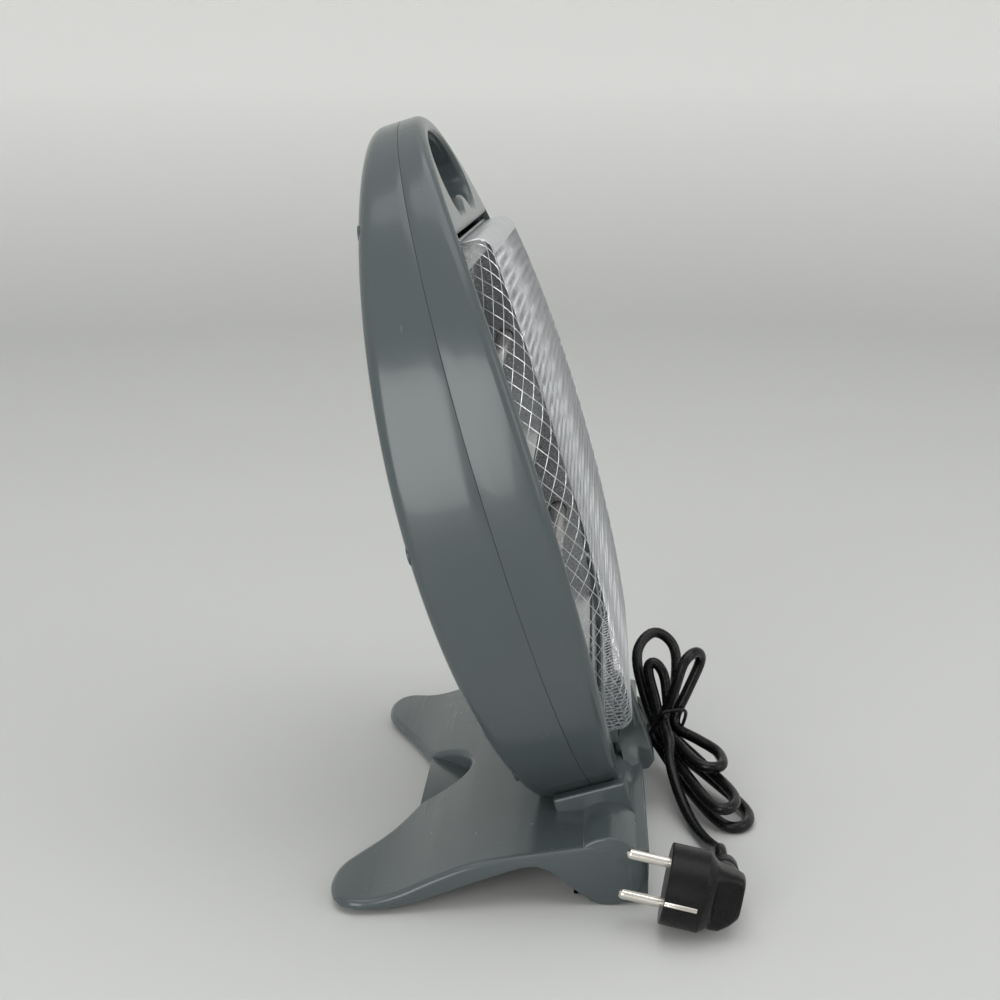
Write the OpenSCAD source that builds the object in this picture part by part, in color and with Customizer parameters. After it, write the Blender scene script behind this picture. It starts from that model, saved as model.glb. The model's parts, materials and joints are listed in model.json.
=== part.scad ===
// Table-top parabolic radiant heater: a leaning oval head on a four-toed base.
// Millimetres. X points to the front, Z up, the floor is z = 0.

/* [Head] */
// Height of the head's oval, measured along its leaning front
head_long = 355; // [351:1:359]
// Width of the head's oval
head_wide = 274; // [271:1:277]
// Lean of the head back from upright, in degrees
head_lean = 16.93; // [16.6:0.1:17.2]
// How far the middle of the front rim bulges forward
rim_bulge = 14.7; // [13.7:0.1:15.7]
// Depth behind the rim's chord of the head's lower back edge
back_low = 36; // [35:0.5:38]
// Depth behind the rim's chord of the head's upper back edge
back_high = 26; // [25:0.5:28]
// Extra bulge of the back in the middle of its height
back_bulge = 18.6; // [17.6:0.2:20]
// Wall thickness of the plastic shells
wall = 2.5; // [2:0.1:2.7]
// Depth of the joint between front and rear shell
seam_depth = 11; // [10.6:0.1:11.4]
// Width of the front rim around the grille
lip_wide = 4; // [3.6:0.1:4.2]

/* [Handle and panels] */
// Width of the hand opening at the top
hand_wide = 112; // [106:1:115]
// Height of the hand opening's upper curve above its corners
hand_rise = 26; // [24:1:28]
// Height of the top panel, down from the head's top
top_panel_high = 57; // [56:0.5:58]
// Upper edge of the chin panel along the head
chin_high = 52; // [51:0.5:53]

/* [Grille] */
// Distance from the head's outline in to the grille's wall
grille_inset = 9; // [8.8:0.1:9.6]
// Height of the grille's front above the rim
grille_high = 11; // [9.5:0.5:12]
// Thickness of the grille's wires
wire_thick = 1.2; // [1:0.1:1.4]
// Sideways pitch of the grille's diagonal wires
lattice_pitch = 19; // [18:0.5:21]
// Spacing of the wires round the grille's wall
post_gap = 13; // [12:0.5:15]

/* [Heating] */
// Outer radius of the glass heating tubes
tube_radius = 5; // [4.5:0.1:5.4]
// Depth of the tubes' centre lines behind the rim's chord
tube_depth = 3; // [2.6:0.2:3.6]
// Depth of each parabolic trough
trough_deep = 28; // [26:0.5:29]

/* [Knob] */
// Radius of the control knob
knob_radius = 23.4; // [22.6:0.1:23.8]
// Height of the knob's grip above the drum at its highest end
grip_high = 8; // [6.5:0.5:8.5]
// Distance of the knob's centre along the head
knob_place = 21.5; // [21.2:0.1:22]
// Radius of the switch shaft
shaft_radius = 3; // [2.8:0.1:3.2]

/* [Base] */
// Half width of the base at the front
base_half_front = 114; // [113:0.5:116]
// Half width of the base at the rear feet
base_half_rear = 131; // [129:0.5:133]
// Radius of the ridge across the front of the base
ridge_radius = 17.2; // [16.8:0.1:17.6]
// Wall thickness of the base
base_wall = 2.5; // [2:0.1:2.7]
// Half width of the bracket that holds the head
bracket_half = 75; // [73:0.5:77]
// Travel of the tip-over plunger
plunger_travel = 5; // [4:0.5:5.5]

/* [Cord] */
// Radius of the cord
cord_radius = 3; // [2.8:0.05:3]
// Radius of the plug's contact pins
pin_radius = 2.4; // [2.2:0.1:2.6]
// Distance between the plug's two contact pins
pin_gap = 19; // [18.5:0.1:19.5]
// Radius of the plug's round face
plug_radius = 18.5; // [18:0.1:18.8]

/* [Hidden] */
$fn = 48;

// Fits
gap = 0.3;
run_fit = 0.08;
forward = 39.9;

// Derived sizes of the head
half_long = head_long / 2;
half_wide = head_wide / 2;
low_front = 21.6;
low_height = 20.7;
top_panel_low = head_long - top_panel_high;
hand_low = head_long - 50;
grille_top = top_panel_low - 4;
grille_bottom = chin_high + 2.5;

// The tubes and troughs keep their share of the head's size
tube_low = head_long * 49 / 142;
tube_high = head_long * 91 / 142;
tube_mid = (tube_low + tube_high) / 2;
trough_span = (tube_high - tube_low) / 2;
trough_half = head_wide * 49 / 137;

function part_way(s) = s / head_long;
function rim(s) = rim_bulge * 4 * part_way(s) * (1 - part_way(s));
function back(s) = -(back_low - (back_low - back_high) * part_way(s))
    - back_bulge * 4 * part_way(s) * (1 - part_way(s));
function half_at(s, inset) = (half_wide - inset)
    * sqrt(max(0, 1 - pow((s - half_long) / (half_long - inset), 2)));
function oval(inset, n = 88) = [for (i = [0 : n - 1])
    [(half_wide - inset) * cos(360 * i / n), half_long + (half_long - inset) * sin(360 * i / n)]];

// Carries the head's own directions (depth, sideways, along) to the leaning head
module leaning() {
    translate([low_front + forward, 0, low_height]) rotate([0, -head_lean, 0]) children();
}

// Stands a flat shape (sideways, along) up and gives it depth from d0 to d1
module deep(d0, d1) {
    translate([d0, 0, 0]) rotate([90, 0, 90]) linear_extrude(d1 - d0) children();
}

// Draws a side profile (depth, along) across the width from y0 to y1
module across(y0, y1) {
    translate([0, y1, 0]) rotate([90, 0, 0]) linear_extrude(y1 - y0) children();
}

// A layer that follows the rim's curve, between two heights above the rim
module rim_layer(low, high, steps = 20) {
    run = head_long + 8;
    across(-160, 160) polygon(concat(
        [for (i = [0 : steps]) let (s = -4 + run * i / steps) [rim(s) + high, s]],
        [for (i = [steps : -1 : 0]) let (s = -4 + run * i / steps) [rim(s) + low, s]]));
}

// Everything of the head in front of its back curve
module back_limit(shift, steps = 20) {
    run = head_long + 8;
    across(-160, 160) polygon(concat(
        [[60, -4], [60, -4 + run]],
        [for (i = [steps : -1 : 0]) let (s = -4 + run * i / steps) [back(s) + shift, s]]));
}

module back_skin(shift0, shift1, steps = 20) {
    run = head_long + 8;
    across(-160, 160) polygon(concat(
        [for (i = [0 : steps]) let (s = -4 + run * i / steps) [back(s) + shift1, s]],
        [for (i = [steps : -1 : 0]) let (s = -4 + run * i / steps) [back(s) + shift0, s]]));
}

module oval_block(inset, d0, d1) {
    deep(d0, d1) polygon(oval(inset));
}

// The hand opening's outline, with a low hump in the middle of its lower edge
module hand_shape(grow) {
    half = hand_wide / 2 + grow;
    top = hand_low + 15 + hand_rise + grow;
    polygon(concat(
        [for (i = [0 : 16]) let (a = 180 * i / 16)
            [half * cos(a), hand_low + 15 + (hand_rise + grow) * sin(a)]],
        [[-half * 0.93, hand_low + 7 - grow * 0.4], [-half * 0.72, hand_low + 1.5 - grow],
         [-half * 0.54, hand_low - grow], [-half * 0.32, hand_low + 1.5 - grow],
         [-half * 0.16, hand_low + 6.5 - grow], [0, hand_low + 8.5 - grow],
         [half * 0.16, hand_low + 6.5 - grow], [half * 0.32, hand_low + 1.5 - grow],
         [half * 0.54, hand_low - grow], [half * 0.72, hand_low + 1.5 - grow],
         [half * 0.93, hand_low + 7 - grow * 0.4]]));
}

// The knob's own directions: out of the chin, sideways, up along the chin
knob_slope = atan(rim_bulge * 4 / head_long * (1 - 2 * part_way(knob_place)));
module at_knob() {
    leaning() translate([rim(knob_place), 0, knob_place]) rotate([0, knob_slope, 0]) children();
}

module rod(r, x0, x1, sides = 32) {
    translate([x0, 0, 0]) rotate([0, 90, 0]) cylinder(r = r, h = x1 - x0, $fn = sides);
}

// Places of the six screws that hold the two shells together
screw_spots = [for (s = [46, tube_mid, head_long - 45]) [s, half_at(s, 7)]];
module at_screws() {
    for (spot = screw_spots, side = [-1, 1]) translate([0, side * spot[1], spot[0]]) {
        $along = spot[0];
        children();
    }
}

// ---------- head shells ----------
module rear_shell() color([0.36, 0.40, 0.41]) leaning() difference() {
    union() {
        difference() {
            intersection() {
                oval_block(0, -70, -seam_depth);
                back_limit(0);
            }
            intersection() {
                oval_block(wall, -80, 0);
                back_limit(wall);
            }
        }
        intersection() {
            oval_block(0.4, -70, -seam_depth - 0.2);
            back_limit(0.4);
            at_screws() rod(6.4, -60, -seam_depth - 0.2);
        }
        intersection() {
            back_limit(1);
            deep(-60, -seam_depth) difference() {
                hand_shape(2);
                hand_shape(0);
            }
        }
        intersection() {
            oval_block(1, -40, -seam_depth);
            back_limit(1);
            for (y = [-38, 38]) translate([-20, y, 0]) cylinder(r = 5.5, h = 24);
        }
    }
    deep(-80, 0) hand_shape(0);
    at_screws() rod(2.15, -70, 0);
    at_screws() rod(4.3, -90, back($along) + 7);
    for (y = [-38, 38]) translate([-20, y, -2]) cylinder(r = 2.1, h = 24);
    // Air slots low and high in the back
    for (i = [0 : 5]) {
        translate([-60, -42, 62 + 9 * i]) cube([30, 84, 3.6]);
        translate([-60, -42, tube_high + 4.5 + 9 * i]) cube([30, 84, 3.6]);
    }
    // Hole in the foot of the head for the wires
    translate([-18, 0, -3]) cylinder(r = 6, h = 12);
}

module front_shell() color([0.38, 0.42, 0.43]) leaning() difference() {
    union() {
        intersection() {
            difference() {
                oval_block(0, -seam_depth, 60);
                oval_block(wall, -seam_depth - 1, 61);
            }
            rim_layer(-60, 0);
        }
        intersection() {
            difference() {
                oval_block(1, -seam_depth, 60);
                oval_block(lip_wide, -seam_depth - 1, 61);
            }
            rim_layer(-4, 0);
        }
        // Shelf that carries the grille's rim
        intersection() {
            difference() {
                oval_block(1, -seam_depth, 60);
                oval_block(7.2, -seam_depth - 1, 61);
            }
            rim_layer(-6, -4);
        }
        // Top panel with its lower wall and the hand opening's collar
        intersection() {
            oval_block(1, -seam_depth, 60);
            rim_layer(-wall, 0);
            translate([-30, -150, top_panel_low]) cube([80, 300, 80]);
        }
        intersection() {
            oval_block(1, -seam_depth, 60);
            rim_layer(-10, 0);
            translate([-30, -150, top_panel_low - 2]) cube([80, 300, 2.5]);
        }
        intersection() {
            rim_layer(-60, -1);
            deep(-seam_depth, 30) difference() {
                hand_shape(2);
                hand_shape(0);
            }
        }
        // Sunken chin panel with its upper wall
        intersection() {
            oval_block(1, -seam_depth, 60);
            rim_layer(-5.5, -3);
            translate([-30, -150, -10]) cube([80, 300, chin_high + 10]);
        }
        intersection() {
            oval_block(1, -seam_depth, 60);
            rim_layer(-10, -3);
            translate([-30, -150, chin_high - 2]) cube([80, 300, 2]);
        }
        intersection() {
            oval_block(1, -seam_depth, 60);
            rim_layer(-60, -7.4);
            at_screws() rod(4.8, -seam_depth, 30);
        }
    }
    deep(-40, 60) hand_shape(0);
    at_screws() rod(1.9, -40, rim($along) - 10);
    translate([rim(knob_place), 0, knob_place]) rotate([0, knob_slope, 0]) rod(5.4, -12, 2);
}

module shell_screws() color([0.72, 0.73, 0.75]) leaning() at_screws() {
    rod(3.9, back($along) + 4.8, back($along) + 7);
    rod(1.8, back($along) + 6.5, -seam_depth + 7);
}

// ---------- grille ----------
module grille_window(inset, trim) {
    intersection() {
        oval_block(inset, -20, 60);
        translate([-20, -150, grille_bottom + trim])
            cube([80, 300, grille_top - grille_bottom - 2 * trim]);
    }
}

module grille_frame() color([0.62, 0.64, 0.66]) leaning() difference() {
    intersection() {
        rim_layer(-3.95, -2.9);
        grille_window(lip_wide + gap, -1.3);
    }
    grille_window(grille_inset + 1.6, 1.6);
}

module lattice_bars(turn) {
    span = 340;
    count = ceil(span / lattice_pitch);
    for (i = [-count : count]) translate([0, i * lattice_pitch, half_long]) rotate([turn, 0, 0])
        translate([0, -0.8, -190]) cube([60, 1.6, 380]);
}

module wire_grille() color([0.80, 0.82, 0.84]) leaning() intersection() {
    rim_layer(grille_high, grille_high + wire_thick);
    grille_window(grille_inset, 0);
    union() {
        lattice_bars(40);
        lattice_bars(-40);
        difference() {
            oval_block(0, 0, 60);
            grille_window(grille_inset + 1.8, 1.8);
        }
    }
}

// Side of the grille, bent down to a foot ring
module grille_wall() color([0.80, 0.82, 0.84]) leaning() {
    difference() {
        intersection() {
            rim_layer(-2.9, -1.4);
            grille_window(grille_inset, 0);
        }
        grille_window(grille_inset + 1.4, 1.4);
    }
    intersection() {
        rim_layer(-2.5, grille_high - gap);
        difference() {
            grille_window(grille_inset, 0);
            grille_window(grille_inset + wire_thick, wire_thick);
        }
        union() {
            for (s = [grille_bottom + 8 : post_gap : grille_top - 6])
                translate([-20, -150, s]) cube([80, 300, 1.4]);
            for (y = [-130 : post_gap : 130])
                translate([-20, y, grille_bottom - 1]) cube([80, 1.4, 3]);
            for (y = [-130 : post_gap : 130])
                translate([-20, y, grille_top - 2]) cube([80, 1.4, 3]);
        }
    }
}

module grille_clips() color([0.70, 0.72, 0.74]) leaning() {
    for (s = [tube_mid - 70, tube_mid, tube_mid + 70], side = [-1, 1]) intersection() {
        rim_layer(-2.9, -0.6);
        difference() {
            oval_block(lip_wide + 0.2, -20, 60);
            oval_block(grille_inset - 0.6, -20, 60);
        }
        translate([-20, side * (half_wide - 12) - 20, s - 5]) cube([80, 40, 10]);
    }
}

// ---------- heating ----------
trough_low = tube_low - trough_span;
trough_high = tube_high + trough_span;
function trough(s) = let (mid = s < tube_mid ? tube_low : tube_high)
    2 - trough_deep + trough_deep * pow((s - mid) / trough_span, 2);
sheet_screws = [[tube_low - 34.5, trough_half + 6], [tube_high + 34.5, trough_half + 6]];

module trough_profile(shift) {
    n = 42;
    polygon(concat(
        [for (i = [0 : n]) let (s = trough_low + (trough_high - trough_low) * i / n)
            [trough(s) + shift, s]],
        [[30, trough_high], [30, trough_low]]));
}

module reflector() color([0.86, 0.87, 0.88]) leaning() {
    difference() {
        union() {
            intersection() {
                rim_layer(-7.2, -6.2);
                difference() {
                    oval_block(3, -20, 60);
                    translate([-30, -trough_half + 0.5, trough_low + 0.5])
                        cube([80, 2 * trough_half - 1, trough_high - trough_low - 1]);
                }
                translate([-30, -150, grille_bottom + 2])
                    cube([80, 300, grille_top - grille_bottom - 3.5]);
            }
            intersection() {
                rim_layer(-60, -6.4);
                union() {
                    difference() {
                        across(-trough_half, trough_half) trough_profile(-1);
                        across(-trough_half - 1, trough_half + 1) trough_profile(0);
                    }
                    for (y = [-trough_half, trough_half - 1])
                        across(y, y + 1) trough_profile(-0.5);
                    for (s = [trough_low - 1, trough_high - 0.2])
                        translate([trough(trough_low) - 1, -trough_half, s])
                            cube([12, 2 * trough_half, 1.2]);
                }
            }
        }
        for (s = [tube_low, tube_high]) translate([-tube_depth, -120, s]) rotate([-90, 0, 0])
            cylinder(r = tube_radius + 0.5, h = 240);
        at_screws() rod(2.6, -20, 30);
        for (spot = sheet_screws, side = [-1, 1])
            translate([0, side * spot[1], spot[0]]) rod(1.7, -30, 40);
    }
}

module reflector_screws() color([0.75, 0.76, 0.78]) leaning()
    for (spot = sheet_screws, side = [-1, 1])
        translate([rim(spot[0]), side * spot[1], spot[0]]) {
            rod(3, -5.9, -4.2, 20);
            rod(1.6, -12, -5, 20);
        }

module quartz_tubes() color([0.90, 0.92, 0.94, 0.5]) leaning()
    for (s = [tube_low, tube_high]) translate([-tube_depth, 0, s]) rotate([-90, 0, 0]) difference() {
        cylinder(r = tube_radius, h = 2 * trough_half + 18, center = true);
        cylinder(r = tube_radius - 1, h = 2 * trough_half + 20, center = true);
    }

module heating_coils() color([0.45, 0.40, 0.38]) leaning()
    for (s = [tube_low, tube_high]) translate([-tube_depth, 0, s]) rotate([-90, 0, 0])
        cylinder(r = tube_radius - 1.6, h = 2 * trough_half + 12, $fn = 24, center = true);

module tube_holders() color([0.88, 0.86, 0.80]) leaning()
    for (s = [tube_low, tube_high], side = [-1, 1])
        translate([-tube_depth, side * (trough_half + 9.5), s]) difference() {
            union() {
                rotate([90, 0, 0]) cylinder(r = tube_radius + 2.5, h = 13, center = true);
                translate([0, -5, -6]) cube([rim(s) - 7.6 + tube_depth, 10, 12]);
            }
            translate([0, side > 0 ? -8 : 0, 0]) rotate([-90, 0, 0])
                cylinder(r = tube_radius + 0.1, h = 8);
        }

module heat_shield() color([0.60, 0.62, 0.64]) leaning() difference() {
    union() {
        translate([-35, -trough_half - 4, tube_low - 42.5])
            cube([0.9, 2 * trough_half + 8, tube_high - tube_low + 85]);
        for (side = [-1, 1], s = [tube_low - 30.5, tube_high + 30.5])
            translate([0, side * (trough_half - 2), s]) rod(3.2, back(s) + wall + 0.6, -34.5);
    }
    translate([-50, -12, tube_mid - 12]) cube([30, 24, 24]);
}

module thermal_cutout() color([0.25, 0.25, 0.26]) leaning() translate([0, 0, tube_mid]) {
    rod(8, -12.6, -7.4);
    rod(5.5, -17, -12.2);
    for (y = [-4, 4]) translate([-22, y - 1, -1]) cube([6, 2, 0.8]);
}

// ---------- knob and switch ----------
drum_high = 9;
module rotary_switch() color([0.16, 0.16, 0.17]) at_knob() difference() {
    union() {
        translate([-27, -14, -12]) cube([20.8, 28, 26]);
        rod(4.9, -7, -2.9);
        for (y = [-8, 0, 8]) translate([-32, y - 1.5, 8]) cube([6, 3, 0.8]);
    }
    rod(shaft_radius + run_fit, -22, 1);
}

module switch_shaft() color([0.80, 0.80, 0.82]) at_knob() rod(shaft_radius, -20, 5.5);

module control_knob() color([0.37, 0.41, 0.42]) at_knob() difference() {
    union() {
        rod(16.8, -2.5, 0.8);
        rod(knob_radius, 0.6, drum_high, 64);
        // Wedge-shaped grip, low at the top and high at the bottom
        intersection() {
            rod(knob_radius, drum_high - 1, drum_high + 20, 64);
            across(-8, 8) polygon([[drum_high - 1, 24], [drum_high + 0.2, 24],
                [drum_high + grip_high * 0.45, 6], [drum_high + grip_high * 0.9, -12],
                [drum_high + grip_high, -18], [drum_high + grip_high, -24], [drum_high - 1, -24]]);
        }
    }
    for (side = [-1, 1]) translate([drum_high + 6.5, side * 22.5, -3]) sphere(r = 16.5, $fn = 40);
    rod(shaft_radius + 0.04, -3, 6);
}

// ---------- base ----------
function plan_half(k) = [
    [31.5 - k, base_half_front - 3 - 0.9 * k],
    [29 - 0.8 * k, base_half_front - 0.3 - k],
    [10, base_half_front - k],
    [-95, base_half_rear - 1 - k],
    [-103, base_half_rear + 0.2 - k],
    [-109 + 0.5 * k, base_half_rear - 1 - 0.9 * k],
    [-114.3 + 0.8 * k, base_half_rear - 5.5 - 0.6 * k],
    [-117.5 + k, base_half_rear - 13 - 0.2 * k],
    [-118.7 + k, base_half_rear - 22 + 0.1 * k],
    [-117 + 0.95 * k, base_half_rear - 36.5 + 0.4 * k],
    [-108.7 + 0.92 * k, 79 + 0.5 * k],
    [-99.5 + 0.9 * k, 63 + 0.5 * k],
    [-91.5 + 0.9 * k, 46.5 + 0.5 * k],
    [-85 + 0.97 * k, 31 + 0.3 * k]];
function flip(list) = [for (i = [len(list) - 1 : -1 : 0]) [list[i][0], -list[i][1]]];
module plan(k) {
    polygon(concat(plan_half(k), flip(plan_half(k))));
}

top_line = [[-122, 7.7], [-103, 7.6], [-96.6, 7.6], [-90, 9], [-83, 11.2], [-74, 15.3],
    [-65, 18.9], [-56, 22.2], [-46.7, 24.6], [-37.5, 25.8], [-28.4, 26.8], [-14.6, 28.1],
    [1.6, 29.8], [12.5, 30.4]];
ridge_z = 17.2;
module side_shape(k) {
    polygon(concat([for (p = top_line) [p[0], p[1] - k]], [[12.5, -5], [-122, -5]]));
    translate([12.5, ridge_z]) circle(r = ridge_radius - k, $fn = 72);
}

// The base's outer block, drawn in by k on every side
module base_block(k, low) {
    intersection() {
        translate([0, 0, low]) linear_extrude(50) plan(k);
        union() {
            across(-140, 140) side_shape(k);
            across(k - base_half_front + 2.5, base_half_front - 2.5 - k)
                translate([8, -5]) square([23.5 - k, 33 - k]);
        }
    }
}

// Space under the base's side walls
arch_line = [[-125, 6.4], [-108, 4.8], [-95, 2.7], [-83, 4], [-65, 9.2], [-51, 14.1],
    [-37.5, 18], [-28, 21.1], [-19, 21.7], [-14.5, 19.4], [-9.8, 14.1], [-0.5, 6.4],
    [9, 1.3], [16, 0.6], [40, 0.6]];
module arch_cut(half) {
    across(-half, half) polygon(concat([[40, -8], [-125, -8]], arch_line));
}

cover_z = 2.5;
cover_thick = 2;
box_rear = -15;
box_step = -1;
box_near = 8 - base_half_front;
box_mid = -60;
box_far = 80;
screw_cover = [[-9, -53], [-9, 58], [23.5, 14 - base_half_front], [23.5, 72], [24, -30]];
feet_front = [[12.5, -66], [12.5, 60]];
feet_rear = [[-103, 17 - base_half_rear], [-103, base_half_rear - 17]];
switch_at = [10, 25 - base_half_front];
ledge_z = 14;

// The wiring box: a wide part under the head and a narrow one at the tip-over switch
module box_room(grow, low) {
    translate([box_rear - grow, box_mid - grow, low])
        cube([60, box_far - box_mid + 2 * grow, 40]);
    translate([box_step - grow, box_near - grow, low])
        cube([60, box_mid - box_near + 2 * grow, 40]);
}

module bracket_block(k, low) {
    intersection() {
        translate([forward, 0, 0]) translate([-60, -120, low]) cube([120, 240, 60]);
        leaning() translate([-30.6 + k, -bracket_half + k, -14])
            cube([37 - 2 * k, 2 * bracket_half - 2 * k, 37.4 - k]);
    }
}

module knob_room() {
    at_knob() rod(knob_radius + 1, -2, 40, 64);
}

module base_shell() color([0.35, 0.39, 0.40]) difference() {
    union() {
        translate([forward, 0, 0]) {
            difference() {
                base_block(0, 0);
                base_block(base_wall, -1);
                arch_cut(140);
            }
            // Walls of the wiring box under the ridge
            intersection() {
                base_block(0.5, cover_z);
                difference() {
                    box_room(2.5, cover_z);
                    box_room(0, 0);
                }
            }
            // Ledge under the bracket
            translate([box_rear - 1, -bracket_half - 1, ledge_z - 2.5])
                cube([44, 2 * bracket_half + 2, 2.5]);
            // Posts for the cover's screws and the rear feet
            intersection() {
                base_block(0.5, 0);
                union() {
                    for (p = screw_cover) translate([p[0], p[1], cover_z + cover_thick])
                        cylinder(r = 4, h = 40, $fn = 32);
                    for (p = feet_rear) translate([p[0], p[1], 1.5]) cylinder(r = 8, h = 20);
                }
            }
            // Scooped rear edge between the rear feet
            intersection() {
                translate([-91, 0, 3.5]) cylinder(r = 33, h = 40, $fn = 72);
                across(-32, 32) side_shape(0);
                translate([-84.5, -32, 3.5]) cube([40, 64, 15.4]);
                difference() {
                    translate([-91, 0, 3.5]) cylinder(r = 33, h = 40, $fn = 72);
                    translate([-91, 0, 9]) cylinder(r = 30.5, h = 40, $fn = 72);
                }
            }
        }
    }
    bracket_block(-gap, ledge_z);
    knob_room();
    // Pocket for the foot of the head, and the way for its wires
    intersection() {
        leaning() oval_block(-2 * gap, -80, 60);
        leaning() back_limit(-2 * gap);
    }
    leaning() translate([-18, 0, -20]) cylinder(r = 6, h = 30);
    translate([forward, 0, 0]) {
        intersection() {
            translate([-91, 0, 11]) cylinder(r = 30.5, h = 40, $fn = 72);
            translate([-95, -31, 11]) cube([60, 62, 30]);
        }
        for (p = screw_cover) translate([p[0], p[1], 0]) cylinder(r = 1.55, h = 11, $fn = 24);
        translate([relief_x, 70, relief_z]) rotate([-90, 0, 0]) cylinder(r = 5.1, h = 20);
        for (y = [-56, 56]) translate([2, y, 5]) cylinder(r = 1.7, h = 12, $fn = 24);
    }
}

module base_cover() color([0.14, 0.14, 0.15]) translate([forward, 0, 0]) difference() {
    union() {
        translate([box_rear + 0.2, box_mid + 0.2, cover_z])
            cube([28.6 - box_rear, box_far - box_mid - 0.4, cover_thick]);
        translate([box_step + 0.2, box_near + 0.2, cover_z])
            cube([28.6 - box_step, box_mid - box_near + 1, cover_thick]);
    }
    for (p = screw_cover) translate([p[0], p[1], 0]) cylinder(r = 1.9, h = 12, $fn = 24);
    translate([switch_at[0], switch_at[1], 0]) cylinder(r = 4 + run_fit, h = 10);
}

module rubber_feet() color([0.06, 0.06, 0.06]) translate([forward, 0, 0]) {
    for (p = feet_rear) translate([p[0], p[1], 0]) cylinder(r = 7.5, h = 1.5);
    for (p = feet_front) translate([p[0], p[1], 0]) cylinder(r = 7.5, h = cover_z);
}

module base_screws() color([0.70, 0.71, 0.73]) translate([forward, 0, 0])
    for (p = screw_cover) translate([p[0], p[1], 0]) {
        translate([0, 0, 0.7]) cylinder(r = 3.4, h = cover_z - 0.7, $fn = 32);
        translate([0, 0, 2]) cylinder(r = 1.5, h = 8.5, $fn = 24);
    }

module neck_bracket() color([0.36, 0.40, 0.41]) difference() {
    bracket_block(0, ledge_z);
    leaning() oval_block(-gap, -80, 60);
    difference() {
        bracket_block(base_wall, ledge_z - 1);
        leaning() oval_block(-gap - base_wall, -80, 60);
        for (y = [-56, 56]) translate([forward + 2, y, 10]) cylinder(r = 4.5, h = 40);
    }
    knob_room();
    leaning() translate([-18, 0, -20]) cylinder(r = 6, h = 30);
    for (y = [-38, 38]) leaning() translate([-20, y, -20]) cylinder(r = 2.2, h = 40);
    for (y = [-56, 56]) translate([forward + 2, y, 10]) cylinder(r = 1.55, h = 10, $fn = 24);
}

module neck_screws() color([0.70, 0.71, 0.73]) {
    for (y = [-38, 38]) leaning() translate([-20, y, 0]) {
        translate([0, 0, 0.4]) cylinder(r = 3.6, h = 2.2, $fn = 32);
        translate([0, 0, 2]) cylinder(r = 2, h = 17, $fn = 24);
    }
    for (y = [-56, 56]) translate([forward + 2, y, 0]) {
        translate([0, 0, 9.4]) cylinder(r = 3.2, h = 2.1, $fn = 32);
        translate([0, 0, 11]) cylinder(r = 1.5, h = 8, $fn = 24);
    }
}

// ---------- tip-over switch ----------
module at_switch() {
    translate([forward + switch_at[0], switch_at[1], 0]) children();
}
collar_z = cover_z + cover_thick + plunger_travel + 1;
module tip_switch_housing() color([0.12, 0.12, 0.13]) at_switch() difference() {
    translate([-9, -7.6, cover_z + cover_thick]) cube([18, 15.2, 20]);
    translate([0, 0, 0]) cylinder(r = 6.4, h = 21.5);
    translate([0, 0, 20]) cylinder(r = 2.6, h = 8);
}

module tip_plunger() color([0.82, 0.78, 0.66]) at_switch() {
    cylinder(r = 4, h = collar_z + 0.2);
    translate([0, 0, collar_z]) cylinder(r = 5.8, h = 1.5);
    translate([0, 0, collar_z + 1.2]) cylinder(r = 2, h = 9.5, $fn = 24);
}

spring_low = collar_z + 1.6;
spring_top = 21.4;
module plunger_spring() color([0.75, 0.76, 0.78]) at_switch()
    for (i = [0 : 5]) translate([0, 0, spring_low + 0.5 + i * (spring_top - spring_low - 1) / 5])
        rotate_extrude($fn = 20) translate([3.2, 0]) circle(r = 0.45, $fn = 13);

// ---------- wiring ----------
module terminal_block() color([0.90, 0.89, 0.84]) leaning() difference() {
    union() {
        translate([-36, -62, 40]) cube([11, 34, 14]);
        for (y = [-56, -34]) translate([0, y, 47]) rod(2.4, back(47) + wall + 0.6, -35.5);
    }
    for (i = [0 : 2]) translate([-31, -56 + 11 * i, 38]) cylinder(r = 2.4, h = 18, $fn = 24);
}

wire_ways = [
    [[-31, -45, 44], [-31, -45, 38], [-31, -38, 31], [-31, -18, 17], [-28, -8, 11],
        [-21.5, -3, 6.5], [-20, -2.6, 2], [-20, -2.6, -8]],
    [[-31, -34, 44], [-31, -34, 39], [-31, -27, 33], [-31.5, -8, 21], [-30.5, -2, 14],
        [-23, 1.8, 7], [-18, 2.6, 3], [-17, 2.6, -8]]];
module inner_wires() leaning() translate([-forward, 0, 0]) {
    color([0.45, 0.28, 0.14]) tube(smooth_line(wire_ways[0], 2), 1.2, 8);
    color([0.15, 0.30, 0.60]) tube(smooth_line(wire_ways[1], 2), 1.2, 8);
}

// ---------- cord ----------
exit_y = 102;
relief_x = -8;
relief_z = 12;
module strain_relief() color([0.05, 0.05, 0.05]) translate([forward + relief_x, 0, relief_z])
    rotate([-90, 0, 0]) difference() {
        union() {
            translate([0, 0, box_far - 2]) cylinder(r = 6.5, h = 2);
            translate([0, 0, box_far - 1]) cylinder(r = 5, h = 6);
            translate([0, 0, box_far + 2.6]) cylinder(r = 6.5, h = 1.8);
            translate([0, 0, box_far + 4]) cylinder(r1 = 5, r2 = 3.9, h = exit_y - box_far - 4);
            for (i = [0 : 4]) translate([0, 0, box_far + 6.5 + 3 * i])
                cylinder(r = 5.1 - 0.15 * i, h = 1.4);
        }
        translate([0, 0, box_far - 5]) cylinder(r = cord_radius + 0.12, h = 40, $fn = 32);
    }

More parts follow.
